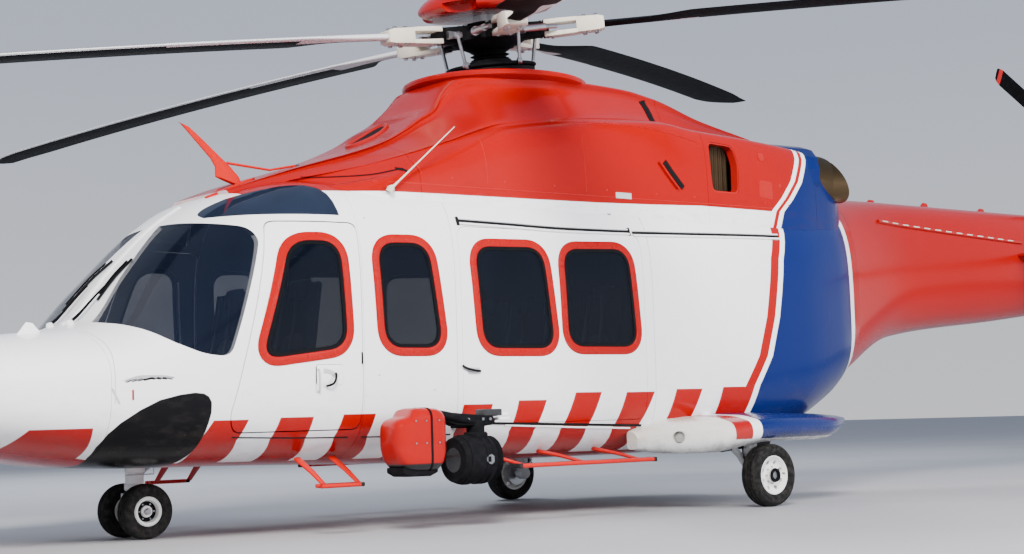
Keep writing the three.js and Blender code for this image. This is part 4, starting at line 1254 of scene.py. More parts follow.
SPONSON = np.array([
    # x, inner, outer, bottom, top
    [3.4, 1.01, 1.12, .45, .56],
    [3.56, .98, 1.31, .425, .61],
    [3.7, .96, 1.44, .41, .635],
    [3.88, .95, 1.555, .41, .65],
    [4.08, .95, 1.61, .44, .66],
    [4.33, .95, 1.64, .475, .67],
    [5, .9, 1.56, .475, .66],
    [5.6, .85, 1.2, .57, .64],
])
SPONSON_STATIONS = (3.4, 3.43, 3.47, 3.52, 3.57, 3.63, 3.7, 3.78, 3.88, 3.98, 4.08, 4.2, 4.33, 4.5, 4.7,
                    4.85, 5, 5.15, 5.3, 5.45, 5.55, 5.6)
SPONSON_LAMP = (3.62, 1.33, .528)
LAMP_RING = [(.036, -.038), (.042, -.036), (.0445, .008), (.049, .012), (.052, .008), (.047, -.01),
             (.04, -.038), (.036, -.038)]
LAMP_BOWL = [(0, -.03), (.02, -.028), (.036, -.02), (.038, -.016), (.03, -.012), (0, -.008)]
sponson_at = through(SPONSON)


def sponson_ring(x, side):
    inner, outer, bottom, top = sponson_at(x)
    tall, wide = top - bottom, outer - inner
    corners = [(inner, bottom), (outer - wide * .16, bottom), (outer, bottom + tall * .3),
               (outer - wide * .03, top - tall * .16), (outer - wide * .3, top + .008), (inner, top + .03)]
    return [(x, side * y, z) for y, z in rounded(corners, min(tall, wide) * .28, 5)]


for label, side in SIDES:
    pod = loft([sponson_ring(x, side) for x in SPONSON_STATIONS], smooth=50, name=f"sponson_skin_{label}")
    x, y, z = SPONSON_LAMP
    lamp = ((x, side * y, z), Vector((-.86, side * .5, 0)).normalized(), 32)
    carve(pod, hull_block(3.2, 5.8, .1), turned([(.042, -.04), (.046, .1)], *lamp))
    dress(pod, SPONSON_PAINT_AND_SHADE, "airframe", f"sponson_{label}")
    dress(turned(LAMP_RING, *lamp, name=f"sponson_lamp_ring_{label}"), STEEL, "airframe")
    dress(turned(LAMP_BOWL, *lamp, name=f"sponson_lamp_{label}"), LAMP_GLASS, "airframe")


# Wheels, which stand on the ground

MAIN_X, MAIN_OUT, MAIN_RADIUS, MAIN_WIDTH, MAIN_RIM, MAIN_AXLE = 4.33, 1.52, .2285, .15, .137, .028
NOSE_RADIUS, NOSE_WIDTH, NOSE_RIM, NOSE_SPACING = .176, .115, .09, .29
HUB_CAP = [(.0295, .0745), (.05, .0745), (.052, .066), (.046, .06), (.0295, .06), (.0295, .0745)]
NOSE_HUB = [(.094, -.05), (.084, -.04), (.084, .02), (.09, .035), (.095, .046), (.088, .052), (.074, .047),
            (.068, .03), (.064, .012), (.04, .008), (.036, .03), (.0215, .032), (.0215, -.03), (.05, -.03),
            (.07, -.046), (.094, -.05)]
NOSE_SLOTS = [(.03, .0085), (.066, .012), (.067, .0205), (.05, .017), (.034, .016), (.03, .0085)]


def tyre(radius, width, rim, grooves, centre, segments):
    """A tyre turned from its inner bead round, with grooves in the tread."""
    half = width / 2
    wall = [(rim, -half * .72), (rim + .012, -half * .86), (radius * .8, -half), (radius * .9, -half * .97),
            (radius * .965, -half * .8), (radius * .99, -half * .62)]
    tread = []
    for k in range(grooves):
        y = (k - (grooves - 1) / 2) * half * .42
        tread += [(radius, y - .005), (radius - .007, y - .004), (radius - .007, y + .004),
                  (radius, y + .005)]
    profile = wall + tread + [(r, -y) for r, y in wall[::-1]]
    return turned(profile + profile[:1], centre, STARBOARD, segments)


def wheel_circle(centre, radius, out, count):
    """Points evenly round a wheel's axle, moved out along it."""
    return [Vector(centre) + Vector((cos(a), 0, sin(a))) * radius + Vector((0, out, 0))
            for a in circle(count)]


def main_rim(centre, side, holes=8):
    """Rim with its holes, nuts, valve and hub cap."""
    rim, axle, h = MAIN_RIM, MAIN_AXLE, MAIN_WIDTH / 2
    profile = [(rim + .006, -h * .8), (rim + .008, -h * .76), (rim - .006, -h * .68), (rim - .008, h * .5),
               (rim + .004, h * .66), (rim + .007, h * .76), (rim + .001, h * .82), (rim - .008, h * .76),
               (rim - .016, h * .56), (rim * .62, h * .34), (axle + .03, h * .42), (axle + .026, h * .72),
               (axle + .0008, h * .74), (axle + .0008, -h * .5), (axle + .02, -h * .5), (rim * .6, -h * .2),
               (rim - .014, -h * .3), (rim - .012, -h * .74), (rim + .006, -h * .8)]
    rim_body = turned(profile, centre, (0, side, 0), 72)
    for k in range(holes):
        a = 2 * pi * (k + .5) / holes
        mid = Vector(centre) + Vector((cos(a), 0, sin(a))) * rim * .72
        carve(rim_body, turned([(rim * .115, -MAIN_WIDTH), (rim * .115, MAIN_WIDTH)], mid, STARBOARD, 18))
    valve = [Vector(centre) + Vector((rim * .8, side * h * .5, .01)),
             Vector(centre) + Vector((rim * .82, side * h * .8, .01))]
    return [clad(rim_body, WHEEL_PAINT)] + built((
        (STEEL, bolts, wheel_circle(centre, rim * .43, side * h * .4, 8), (0, side, 0), .007, .012),
        (GASKET, tube, valve, .004, 8),
        (MOULDED, turned, HUB_CAP, centre, (0, side, 0), 32),
    ))


for label, side in SIDES:
    centre = (MAIN_X, side * MAIN_OUT, MAIN_RADIUS)
    rubber = clad(tyre(MAIN_RADIUS, MAIN_WIDTH, MAIN_RIM, 3, centre, 72), RUBBER)
    wheel = f"main_wheel_{label}"
    assembly(f"main_wheel_set_{label}", [rubber] + main_rim(centre, side), wheel, wheel)

nose_parts = []
for _, side in SIDES:
    centre, out = (0, side * NOSE_SPACING / 2, NOSE_RADIUS), (0, side, 0)
    nose_parts += built((
        (RUBBER, tyre, NOSE_RADIUS, NOSE_WIDTH, NOSE_RIM, 2, centre, 64),
        (WHEEL_PAINT, turned, NOSE_HUB, centre, out, 56),
        (MOULDED, turned, NOSE_SLOTS, centre, out, 40),
        (STEEL, bolts, wheel_circle(centre, .052, side * .015, 6), out, .006, .009),
    ))
reach = NOSE_SPACING / 2 + NOSE_WIDTH / 2 - .006
nose_axle = [(0, -reach), (.016, -reach), (.022, .006 - reach), (.022, reach - .006), (.016, reach),
             (0, reach)]
nose_parts += built([(STEEL, turned, nose_axle, (0, 0, NOSE_RADIUS), STARBOARD, 24)])
assembly("nose_wheel_set", nose_parts, "nose_wheel_pair", "nose_wheels")


# Landing gear legs

NOSE_AXIS = (0, 0, NOSE_RADIUS)
STRUT_OUT = 1.35
BRAKE_LINE = [(.03, .062, .33), (.05, .07, .37), (.03, .075, .41), (.04, .06, .45)]
assembly("nose_fork_set", built((
    (ALLOY, turned, [(0, .0), (.038, .0), (.038, .264), (0, .264)], NOSE_AXIS, UP, 32),
    (GREY_PAINT, turned, [(.038, .05), (.056, .05), (.06, .06), (.06, .1), (.052, .112), (.038, .112),
                          (.038, .05)], NOSE_AXIS, UP, 32),
    (GREY_PAINT, turned, [(.023, -.07), (.05, -.07), (.058, -.05), (.058, .05), (.05, .07), (.023, .07),
                          (.023, -.07)], NOSE_AXIS, STARBOARD, 32),
    (GREY_PAINT, bar, [(-.044, .19), (.044, .19), (.04, .236), (-.04, .236)], -.04, .04, .006),
    (STEEL, bar, [(-.096, .18), (-.04, .176), (-.036, .24), (-.06, .29), (-.09, .294)], -.017, .017, .004),
    (STEEL, tube, [(-.088, -.03, .2), (-.088, .03, .2)], .011, 16),
)), "nose_steering", "nose_fork")

assembly("nose_leg_set", built((
    (WHITE_PAINT, turned, [(.0392, .306), (.058, .306), (.066, .316), (.066, .345), (.06, .352), (.06, .42),
                           (.066, .426), (.066, .452), (.0392, .452), (.0392, .306)], ORIGIN, UP, 40),
    (GREY_PAINT, tube, [(.05, .0, .42), (.075, 0, .44), (.1, 0, .455)], .016, 14),
    (GASKET, tube, spline(BRAKE_LINE, 6), .005, 10),
    (STEEL, tube, [(-.1, -.075, .462), (-.1, -.075, .41), (.1, -.075, .41), (.1, -.075, .462)], .004, 8),
)), "airframe", "nose_leg")

for label, side in SIDES:
    x, y = MAIN_X, side * STRUT_OUT
    axle = (x, y, MAIN_RADIUS), (0, side, 0)
    hose = [(x - .03, side * 1.4, .3), (x - .07, side * 1.36, .34), (x - .05, side * 1.32, .4),
            (x - .04, side * 1.31, .47)]
    assembly(f"main_leg_set_{label}", built((
        (GREY_PAINT, turned, [(0, .3), (.04, .3), (.048, .31), (.048, .4), (.056, .404), (.056, .43),
                              (.048, .434), (.048, .478), (0, .478)], (x, y, 0), UP, 32),
        (ALLOY, turned, [(0, .2185), (.03, .2185), (.03, .31), (0, .31)], (x, y, 0), UP, 28),
        (GREY_PAINT, turned, [(0, -.05), (.045, -.05), (.05, -.04), (.05, .03), (.045, .04), (0, .04)],
         *axle, 28),
        (STEEL, turned, [(0, -.04), (.034, -.04), (.034, .07), (.028, .072), (.028, .23), (.024, .233),
                         (0, .233)], *axle, 28),
        (STEEL, turned, [(.028, .078), (.1, .078), (.1, .09), (.028, .09), (.028, .078)], *axle, 40),
        (GREY_PAINT, tube, [(x - .155, side * 1.27, .475), (x - .08, side * 1.31, .38),
                            (x - .01, side * 1.345, .262)], [.03, .026, .032], 16),
        (STEEL, tube, [(x + .05, y, .4), (x + .1, y, .34)], .012),
        (STEEL, tube, [(x + .1, y, .34), (x + .04, y, .25)], .012),
        (GASKET, tube, spline(hose, 6), .006, 10),
    )), "airframe", f"main_leg_{label}")
    # A thin black sheet hanging under the sponson, inboard of each main wheel: painted shade of the wheel
    # well.
    well = bar([(4.08, .405), (4.6, .45), (4.62, .486), (4.06, .462)], side * 1.28, side * 1.3, .004)
    well.name = f"gear_well_shade_{label}"
    dress(well, WELL_SHADE_BLACK, "airframe")


# Lamp pod and searchlight on the port side

POD_ROWS = ((1.065, .06, .66, .56), (1.075, .09, .69, .5), (1.1, .112, .712, .44), (1.14, .122, .722, .4),
            (1.18, .126, .735, .388), (1.2, .126, .772, .385), (1.24, .126, .782, .382),
            (1.34, .127, .782, .38), (1.39, .124, .778, .384), (1.425, .116, .768, .41),
            (1.45, .1, .745, .46), (1.462, .07, .71, .54))
POD_FOOT = ((1.12, .41, .375), (1.16, .41, .352), (1.34, .41, .35), (1.39, .41, .372))
BEAM = [(1.3, -1.3, .73), (1.42, -1.315, .74), (1.54, -1.32, .725), (1.66, -1.31, .7), (1.8, -1.29, .685),
        (1.93, -1.28, .69)]
BEAM_COVER = [(1.5, .7), (1.62, .66), (1.86, .655), (1.92, .67), (1.92, .72), (1.72, .735), (1.56, .75)]
BEAM_BOLTS = ((1.5, .73), (1.6, .715), (1.7, .7), (1.82, .7), (1.88, .7))
PIVOT = (1.8, -1.29, 0)
LAMP = Vector((1.8, -1.29, .44))


def pod_ring(x, half, top, bottom, y=-1.335):
    corners = [(y - half, bottom), (y + half, bottom), (y + half, top), (y - half, top)]
    return [(x, p, q) for p, q in rounded(corners, min(half, (top - bottom) / 2) * .62, 6)]


assembly("pod_set", built((
    (POD_PAINT, loft, [pod_ring(*row) for row in POD_ROWS], True, 50),
    (MOULDED, loft, [pod_ring(x, .088, top, bottom) for x, top, bottom in POD_FOOT]),
    (MOULDED, loft, [pod_ring(x, .1295, .7845, .3785) for x in (1.315, 1.33)]),
    (STEEL, bolts, [(x, -1.4635, z) for x in (1.2, 1.28, 1.38) for z in (.56, .7)],
     (0, -1, 0), .007, .003, 12),
    (MOULDED, tube, spline(BEAM, 8), .05, 20, True, .62),
    (MOULDED, box, 1.28, 1.36, -1.3, -1.02, .645, .7, .01),
    (MOULDED, box, 1.76, 1.84, -1.26, -1.02, .645, .7, .01),
    (MOULDED, bar, BEAM_COVER, -1.34, -1.23, .012, 3),
    (MOULDED, turned, [(.0312, .608), (.058, .608), (.06, .614), (.06, .69), (.052, .7), (0, .7), (0, .69),
                       (.0312, .69), (.0312, .608)], PIVOT, UP, 32),
    (STEEL, turned, [(0, .564), (.027, .564), (.03, .57), (.03, .69), (0, .69)], PIVOT, UP, 24),
    (STEEL, bolts, [(x, -1.345, z) for x, z in BEAM_BOLTS], (0, -1, 0), .011, .008),
    (DARK_FITTING, box, 1.84, 1.99, -1.34, -1.24, .72, .765, .008),
    (WHITE_PAINT, box, 1.95, 2.05, -1.335, -1.25, .715, .742, .006),
    (WHITE_PAINT, box, 1.97, 2.06, -1.335, -1.25, .69, .71, .004),
)), "airframe", "lamp_pod")

lamp_rows = [
    (MOULDED, turned, [(0, -.188), (.13, -.188), (.142, -.182), (.15, -.165), (.15, -.15), (.158, -.145),
                       (.163, -.12), (.163, -.09), (.156, -.085), (.156, -.03), (.163, -.025), (.163, .0),
                       (.156, .005), (.156, .02), (.163, .025), (.16, .05), (.13, .09), (.08, .115),
                       (0, .119)], LAMP, AFT, 56),
    (MOULDED, turned, [(.118, -.189), (.14, -.1895), (.146, -.18), (.13, -.176), (.118, -.18),
                       (.118, -.189)], LAMP, AFT, 56),
    (LAMP_DARK, turned, [(0, -.1885), (.06, -.1888), (.117, -.1865), (.117, -.182), (0, -.182)],
     LAMP, AFT, 56),
    (MOULDED, turned, [(.0315, .12), (.075, .12), (.08, .128), (.08, .165), (.07, .178), (.0315, .178),
                       (.0315, .12)], LAMP, UP, 36),
    (MOULDED, bar, [(1.76, .5), (1.84, .5), (1.86, .6), (1.74, .6)], -1.33, -1.25, .008),
]
cooling_fin = [(.1, .0), (.15, .0), (.15, .004), (.1, .004), (.1, .0)]
lamp_rows += [(MOULDED, turned, cooling_fin, LAMP + Vector((.03 + .0085 * k, 0, 0)), AFT, 40)
              for k in range(10)]
trunnion = [(0, -.01), (.034, -.01), (.036, .0), (.03, .012), (0, .012)]
for _, side in SIDES:
    lamp_rows.append((STEEL, turned, trunnion, (1.8, -1.29 + side * .15, .44), (0, side, 0), 28))
assembly("searchlight_set", built(lamp_rows), "searchlight", "searchlight")


# Steps

for label, side in SIDES:
    near, far = side * 1.12, side * 1.18
    rows = [(STEP_RED, tube, [(x, side * .86, .484), (x + .02, side * 1.0, .4), (x + .03, near, .322)],
             [.03, .026, .02], 16, True, .42) for x in (.7, .96)]
    rows += [
        (STEP_RED, tube, [(.672, near, .316), (.7, side * 1.125, .3155), (.96, side * 1.125, .3155),
                          (.988, near, .316)], [.012, .014, .014, .012], 16),
        (STEP_RED, tube, [(.672, far, .314), (.988, far, .314)], .0135, 16),
    ]
    rows += [(STEP_RED, box, x - .01, x + .01, side * 1.11, side * 1.19, .308, .322, .003)
             for x in (.7, .83, .96)]
    rows += [
        (GRIP, box, .7, .96, side * 1.13, side * 1.172, .32, .3285, .002),
        (GRIP, box, .962, .989, side * 1.1, side * 1.196, .303, .327, .006),
    ]
    assembly(f"crew_step_set_{label}", built(rows), "airframe", f"crew_step_{label}")
    rows = [(STEP_RED, tube, [(x, side * .87, .462), (x + .01, side * 1.1, .43),
                              (x + .02, side * 1.325, .386)],
             [.026, .022, .018], 14, True, .6) for x in (2.15, 2.68, 3.2)]
    rows += [(STEP_RED, tube, [(2.09, side * y, .383), (3.335, side * y, .383)], radius, 16)
             for y, radius in ((1.374, .0145), (1.318, .0125))]
    rows.append((GRIP, box, 2.11, 3.31, side * 1.33, side * 1.362, .388, .3985, .002))
    rows += [(GRIP, box, x, x + .03, side * 1.303, side * 1.389, .367, .399, .006) for x in (2.086, 3.309)]
    assembly(f"door_step_set_{label}", built(rows), "airframe", f"door_step_{label}")


# Antennas

AERIAL_Y = -.2
AERIAL_BLADE = ((.62, .11, .026, 2.33), (.6, .09, .022, 2.4), (.55, .075, .018, 2.46),
                (.46, .062, .014, 2.54), (.36, .048, .011, 2.63), (.29, .034, .008, 2.69),
                (.262, .02, .006, 2.7))
AERIAL_FOOT = [(.78, .08), (.74, .115), (.6, .12), (.5, .07), (.44, .03), (.44, -.03), (.5, -.07),
               (.6, -.12), (.74, -.115), (.78, -.08)]
WHIP_FOOT, WHIP_TIP = Vector((1.38, -.992, 2.235)), Vector((1.9, -1.02, 2.69))

base = []
for h in (-.02, .012):
    plan = [(x, AERIAL_Y + y * .8) for x, y in rounded(AERIAL_FOOT, .02, 3)]
    base.append([(x, y, (cowl_top(x, y) if x > .52 else hull_roof(x, y)) + h) for x, y in plan])
rings = [[(x + half * cos(a), AERIAL_Y + thick * sin(a), z + half * .35 * cos(a) * (-.9))
          for a in circle(20)]
         for x, half, thick, z in AERIAL_BLADE]
strut_foot = (1.15, AERIAL_Y, cowl_top(1.15, AERIAL_Y))
assembly("blade_antenna_set", built((
    (STEP_RED, loft, rings, True, 50),
    (STEP_RED, loft, base),
    (STEP_RED, tube, [(.6, AERIAL_Y, 2.46), (.93, AERIAL_Y, 2.435), (1.15, AERIAL_Y, strut_foot[2] + .004)],
     [.009, .008, .008], 10),
    (STEEL, turned, [(0, 0), (.02, 0), (.014, .01), (0, .014)], strut_foot, UP, 16),
)), "airframe", "blade_antenna")
assembly("whip_antenna", built((
    (CREAM_PAINT, tube, [WHIP_FOOT, WHIP_FOOT.lerp(WHIP_TIP, .12), WHIP_TIP], [.012, .0065, .003]),
    (CREAM_PAINT, turned, [(0, -.02), (.028, -.02), (.026, .006), (.014, .02), (0, .03)], WHIP_FOOT,
     (.3, -.3, .9),
     24),
)), "airframe")


# Trim that follows a skin: each maker takes the skin and the side, then what it draws

def skin_on(x, z, side, proud=0):
    return on_hull(x, z, side, proud), hull_normal(x, z, side)


def cowl_on(x, z, side, proud=0):
    """A point on the upper deck's side skin and its outward direction."""
    e = .012
    p = Vector((x, cowl_side(x, z, side), z))
    along = Vector((2 * e, cowl_side(x + e, z, side) - cowl_side(x - e, z, side), 0))
    up = Vector((0, cowl_side(x, z + e, side) - cowl_side(x, z - e, side), 2 * e))
    out = along.cross(up)
    out = (out if out.y * side > 0 else -out).normalized()
    return p + out * proud, out


def ribbon(skin, side, points, width, proud, drop=.003):
    """A thin strip along [x, z] points."""
    path = spline([(x, z, 0) for x, z in points], 8)
    rings = []
    for k, p in enumerate(path):
        way = (path[min(k + 1, len(path) - 1)] - path[max(k - 1, 0)]).normalized()
        cross = Vector((-way.y, way.x, 0)) * width / 2
        profile = ((-1, -drop), (-1, proud * .5), (-.7, proud), (.7, proud), (1, proud * .5), (1, -drop))
        spots = [(p + cross * across, h) for across, h in profile]
        rings.append([skin(q.x, q.y, side, h)[0] for q, h in spots])
    return loft(rings)


def plate(skin, side, outline, proud, drop=.003):
    """A low raised patch with an outline of [x, z] points."""
    u, w = (sum(p[k] for p in outline) / len(outline) for k in (0, 1))
    profile = ((1, -drop), (1, proud * .6), (.96, proud), (.5, proud), (.02, proud))
    return loft([[skin(u + (x - u) * grow, w + (z - w) * grow, side, h)[0] for x, z in outline]
                 for grow, h in profile])


def stud(skin, side, x, z, profile, segments):
    return turned(profile, *skin(x, z, side), segments)


def button(skin, side, x, z, radius, height, segments=24):
    profile = [(0, -.004), (radius, -.004), (radius, height * .6), (radius * .82, height), (0, height)]
    return stud(skin, side, x, z, profile, segments)


def handle(skin, side, points, radius, segments):
    """A tube through points of [x, z, height over the skin]."""
    return tube(spline([skin(x, z, side, h)[0] for x, z, h in points], 5), radius, segments)


def trim(name, side, rows, body, skin=skin_on, more=()):
    """One piece from rows of material, maker and what the maker draws on the skin, after any more parts."""
    parts = [clad(make(skin, side, *values), material) for material, make, *values in rows]
    return assembly(name, [*more, *parts], body)


HULL_TRIM = []
for run in (((1.87, 2.036), (2.3, 2.031), (2.769, 2.024), (3.426, 2.033)),
            ((3.464, 2.027), (3.9, 2.04), (4.5, 2.058), (5.076, 2.074))):
    HULL_TRIM += [(SLOT_BLACK, ribbon, run, .02, .0035),
                  (WHITE_PAINT, ribbon, [(x, z - .019) for x, z in run], .016, .014),
                  (WHITE_PAINT, ribbon, [(x, z + .016) for x, z in run], .01, .01)]
HULL_TRIM += [(SLOT_BLACK, ribbon, [(x, 2.005), (x, 2.03), (x, 2.062)], .018, .012) for x in (1.86, 3.43)]
HULL_TRIM += [
    (WHITE_PAINT, ribbon, [(2.219, .655), (2.8, .628), (3.398, .605)], .01, .006),
    (SLOT_BLACK, ribbon, [(2.0, .674), (2.8, .646), (3.5, .622)], .016, .005),
    (SLOT_BLACK, ribbon, [(1.08, .607), (1.5, .604), (1.78, .605)], .007, .0012),
    (SLOT_BLACK, ribbon, [(3.56, .621), (4.2, .64), (4.9, .67)], .006, .0012),
    (RAIL_GREY, ribbon, [(-.6, 1.3), (-.585, 1.2), (-.6, 1.05), (-.6, .85)], .005, .001),
]
HULL_TRIM += [(RAIL_GREY, ribbon, [(x, .66), (x, 1.2), (x, 1.9), (x, 2.22)], .004, .001)
              for x in (1.79, 3.6)]
HULL_TRIM += [
    (SLOT_BLACK, button, 3.307, 2.185, .024, .01),
    (STEEL, stud, 3.307, 2.185, [(.024, -.004), (.034, -.004), (.034, .004), (.029, .007), (.024, .004),
                                 (.024, -.004)], 28),
    (SLOT_BLACK, button, 3.693, 2.199, .012, .006),
]
for k in range(4):
    x, rise = -.55 + .035 * k, .003 * k
    louvre = [(x, .985 + rise), (x + .1, 1.012), (x + .19, 1.0)]
    gap = [(x + .01, .974 + rise), (x + .1, 1.0), (x + .18, .989)]
    HULL_TRIM += [(RAIL_GREY, ribbon, louvre, .007, .009), (SLOT_BLACK, ribbon, gap, .006, .002)]
HULL_TRIM += [
    (RAIL_GREY, ribbon, [(-.62, .94), (-.6, .9), (-.575, .85)], .012, .002),
    (RED_PAINT, ribbon, [(-.5, .93), (-.499, .9), (-.498, .87)], .012, .0012),
    (SLOT_BLACK, ribbon, [(1.03, 1.147), (1.031, 1.11), (1.03, 1.071)], .012, .003),
]
HULL_TRIM += [(RAIL_GREY, button, x, z, .0065, .002, 12) for x, z in ((1.12, 2.02), (1.16, 1), (1.6, .9))]
FLAP = rounded([(.688, .939), (.884, .939), (.884, 1.066), (.688, 1.066)], .02, 4)
CREW_DOOR_TRIM = (
    (WHITE_PAINT, plate, FLAP, .0025),
    (SLOT_BLACK, ribbon, [(.688, .95), (.688, 1.0), (.688, 1.06)], .006, .003),
    (RAIL_GREY, ribbon, [(.69, 1.068), (.78, 1.07), (.88, 1.068)], .005, .003),
    (RAIL_GREY, ribbon, [(.74, 1.03), (.79, 1.02), (.84, .99)], .035, .0035),
    (SLOT_BLACK, ribbon, [(.16, .632), (.6, .616), (.98, .609)], .007, .0015),
    (SLOT_BLACK, handle, ((.751, .934, .012), (.775, .94, .026), (.8, .955, .03), (.815, .985, .028),
                          (.824, 1.015, .012)), .0075, 12),
    (RAIL_GREY, handle, ((.7, .9, .004), (.7, .915, .018), (.7, 1.02, .02), (.7, 1.04, .004)), .006, 10),
)
CABIN_DOOR_TRIM = (
    (RAIL_GREY, plate, rounded([(1.87, 1.0), (1.98, 1.0), (1.98, 1.045), (1.87, 1.045)], .02, 4), .002),
    (SLOT_BLACK, handle, ((1.83, 1.06, .004), (1.845, 1.045, .016), (1.9, 1.03, .02), (1.975, 1.022, .006)),
     .008, 12),
)
for label, side in SIDES:
    trim(f"hull_trim_{label}", side, HULL_TRIM, "airframe")
    trim(f"crew_door_trim_{label}", side, CREW_DOOR_TRIM, "crew_door_" + label)
    trim(f"cabin_door_handle_{label}", side, CABIN_DOOR_TRIM, "airframe")


# Wipers, nose fins and centre post

WIPER_FOOT = (-.5, .15)
WIPER_TIP = {-1: (-.105, .227), 1: (-.1, .06)}
WIPER_TAIL = {-1: (-.33, .2), 1: (-.36, .25)}
ARM_RADII = [.011, .0105, .01, .009, .008, .0075, .007, .006, .006]


def screen_point(x, y, proud=0):
    """A point over the windscreen's skin at a station and offset."""
    z = hull_roof(x, y)
    e = .01
    out = Vector((-(hull_roof(x + e, y) - hull_roof(x - e, y)) / (2 * e),
                  -(hull_roof(x, y + e) - hull_roof(x, y - e)) / (2 * e), 1)).normalized()
    return Vector((x, y, z)) + out * proud


def screen_line(a, b, shares, proud):
    """Points over the windscreen between two others; proud gives their height at a share of the way."""
    return [screen_point(a[0] + (b[0] - a[0]) * t, a[1] + (b[1] - a[1]) * t, proud(t)) for t in shares]


for label, side in SIDES:
    foot, tip, tail = ((x, side * y) for x, y in (WIPER_FOOT, WIPER_TIP[side], WIPER_TAIL[side]))
    elbow = (foot[0] + (tip[0] - foot[0]) * .62, foot[1] + (tip[1] - foot[1]) * .62)
    assembly(f"wiper_{label}", built((
        (MOULDED, tube, screen_line(foot, elbow, np.linspace(0, 1, 9), lambda t: .02 + .018 * sin(pi * t)),
         ARM_RADII, 10),
        (GASKET, tube, screen_line(tail, tip, np.linspace(0, 1, 12), lambda t: .012), .012, 8, True, .7),
        (MOULDED, tube, screen_line(tail, tip, np.linspace(.1, .9, 8), lambda t: .027), .006, 8),
        (WHITE_PAINT, turned, [(0, -.02), (.026, -.02), (.026, .012), (.018, .03), (0, .034)],
         screen_point(*foot), screen_point(*foot, 1) - screen_point(*foot), 24),
    )), "airframe")
    y, z = side * .34, hull_roof(-.86, side * .34)
    corners = [(-.94, z - .02), (-.78, z + .01), (-.83, z + .065), (-.87, z + .07)]
    fin = bar(corners, y - .006, y + .006, .003)
    fin.name = f"nose_fin_{label}"
    dress(fin, WHITE_PAINT, "airframe")
post = tube([screen_point(x, 0, .002) for x in np.linspace(-.5, .34, 15)], .04, 16, flat=.28,
            name="screen_post")
dress(post, WHITE_PAINT, "airframe")


# Upper deck details

DECK_TRIM = [
    (SLOT_BLACK, ribbon, [(4.19, 3.18), (4.215, 3.1), (4.23, 3)], .075, .006),
    (SLOT_BLACK, ribbon, [(3.9, 2.6), (3.98, 2.51), (4.08, 2.41)], .045, .006),
    (RED_PAINT, ribbon, [(3.84, 2.59), (3.92, 2.5), (4.02, 2.4)], .02, .02),
    (RAIL_GREY, plate, [(3.385, 2.29), (3.54, 2.29), (3.54, 2.335), (3.385, 2.335)], .003),
    (SLOT_BLACK, ribbon, [(.9, 2.326), (1.1, 2.328), (1.328, 2.346), (1.546, 2.397)], .009, .002),
    (SLOT_BLACK, ribbon, [(1.5, 2.395), (1.545, 2.382), (1.56, 2.362)], .02, .003),
    (DEEP_RED, plate, rounded([(4.94, 2.39), (5.1, 2.38), (5.1, 2.52), (4.95, 2.53)], .02, 4), .002),
    (DEEP_RED, button, 5.005, 2.722, .035, .006),
    (DEEP_RED, button, 5.2, 2.5, .018, .004),
    (RED_PAINT, ribbon, [(2.9, 2.84), (3.4, 2.86), (3.9, 2.84), (4.3, 2.78)], .01, .003),
    (DEEP_RED, ribbon, [(1.66, 2.36), (1.64, 2.48)], .006, .001),
    (DEEP_RED, ribbon, [(2.2, 2.32), (2.2, 2.5), (2.2, 2.64)], .005, .001),
    (DEEP_RED, ribbon, [(3.1, 2.32), (3.1, 2.5), (3.1, 2.72)], .005, .001),
    (DEEP_RED, ribbon, [(1.2, 2.29), (2.4, 2.29), (3.8, 2.3), (5.1, 2.31)], .006, .001),
]
DECK_TRIM += [(DEEP_RED, button, x, 2.345, .008, .002, 12)
              for x in (1.9, 2.35, 2.8, 3.3, 3.8, 4.2, 5.0, 5.3)]
SHROUD = [(.235, -.34), (.252, -.3), (.256, .0), (.248, .045), (.232, .056), (.21, .055), (.2, .04),
          (.2, -.34), (.235, -.34)]
STRAKE = [(7.04, 2.36), (7.6, 2.34), (8.3, 2.315), (9.05, 2.29), (9.4, 2.28)]
# Light cream dashes along the boom strake: painted highlight on its edge.
GLINT_DASHES = []
for x in np.arange(7.1, 9.3, .17):
    ends = [(x, 2.36 - (x - 7.04) * .0345), (x + .09, 2.36 - (x + .05 - 7.04) * .0345)]
    GLINT_DASHES.append((CREAM_PAINT, ribbon, ends, .012, .023))
INTAKE_MID = (4.56, .86, 2.6)
INLET_X, INLET_LONG, INLET_WIDE = 1.87, .15, .13


def mesh_folds(side, reach=.2, width=.32, thick=.01, count=7):
    """Vertical folds of the screen set back in an engine's intake."""
    x0, y0, z0 = INTAKE_MID
    rings = []
    for k in range(count * 4 + 1):
        t = k / (count * 4)
        x, y = x0 - width / 2 + width * t, side * (y0 - .006 * cos(t * count * 2 * pi))
        deep = y - side * thick
        rings.append([(x, y, z0 - reach), (x, y, z0 + reach), (x, deep, z0 + reach), (x, deep, z0 - reach)])
    return loft(rings)


def intake_frame(side):
    """The intake's edge, carried inward."""
    x0, _, z0 = INTAKE_MID
    rings = []
    for grow, deep in ((1.0, 0), (1.0, -.07), (.94, -.07), (.94, 0), (1.0, 0)):
        edge = [cowl_on(x0 + (x - x0) * grow, z0 + (z - z0) * grow, side, -.004)[0]
                for x, z in rounded(INTAKE, .05, 6)]
        rings.append([p + Vector((0, side * deep, 0)) for p in edge])
    return loft(rings, False)


def inlet_rings(steps):
    """Ovals round the air inlet in front of the mast: each step is a share of its size and a height."""
    rings = []
    for grow, h in steps:
        plan = [(INLET_X + INLET_LONG * grow * cos(a), INLET_WIDE * grow * sin(a)) for a in circle(40)]
        rings.append([Vector((x - h * .5, y, cowl_top(x, y) + h)) for x, y in plan])
    return rings


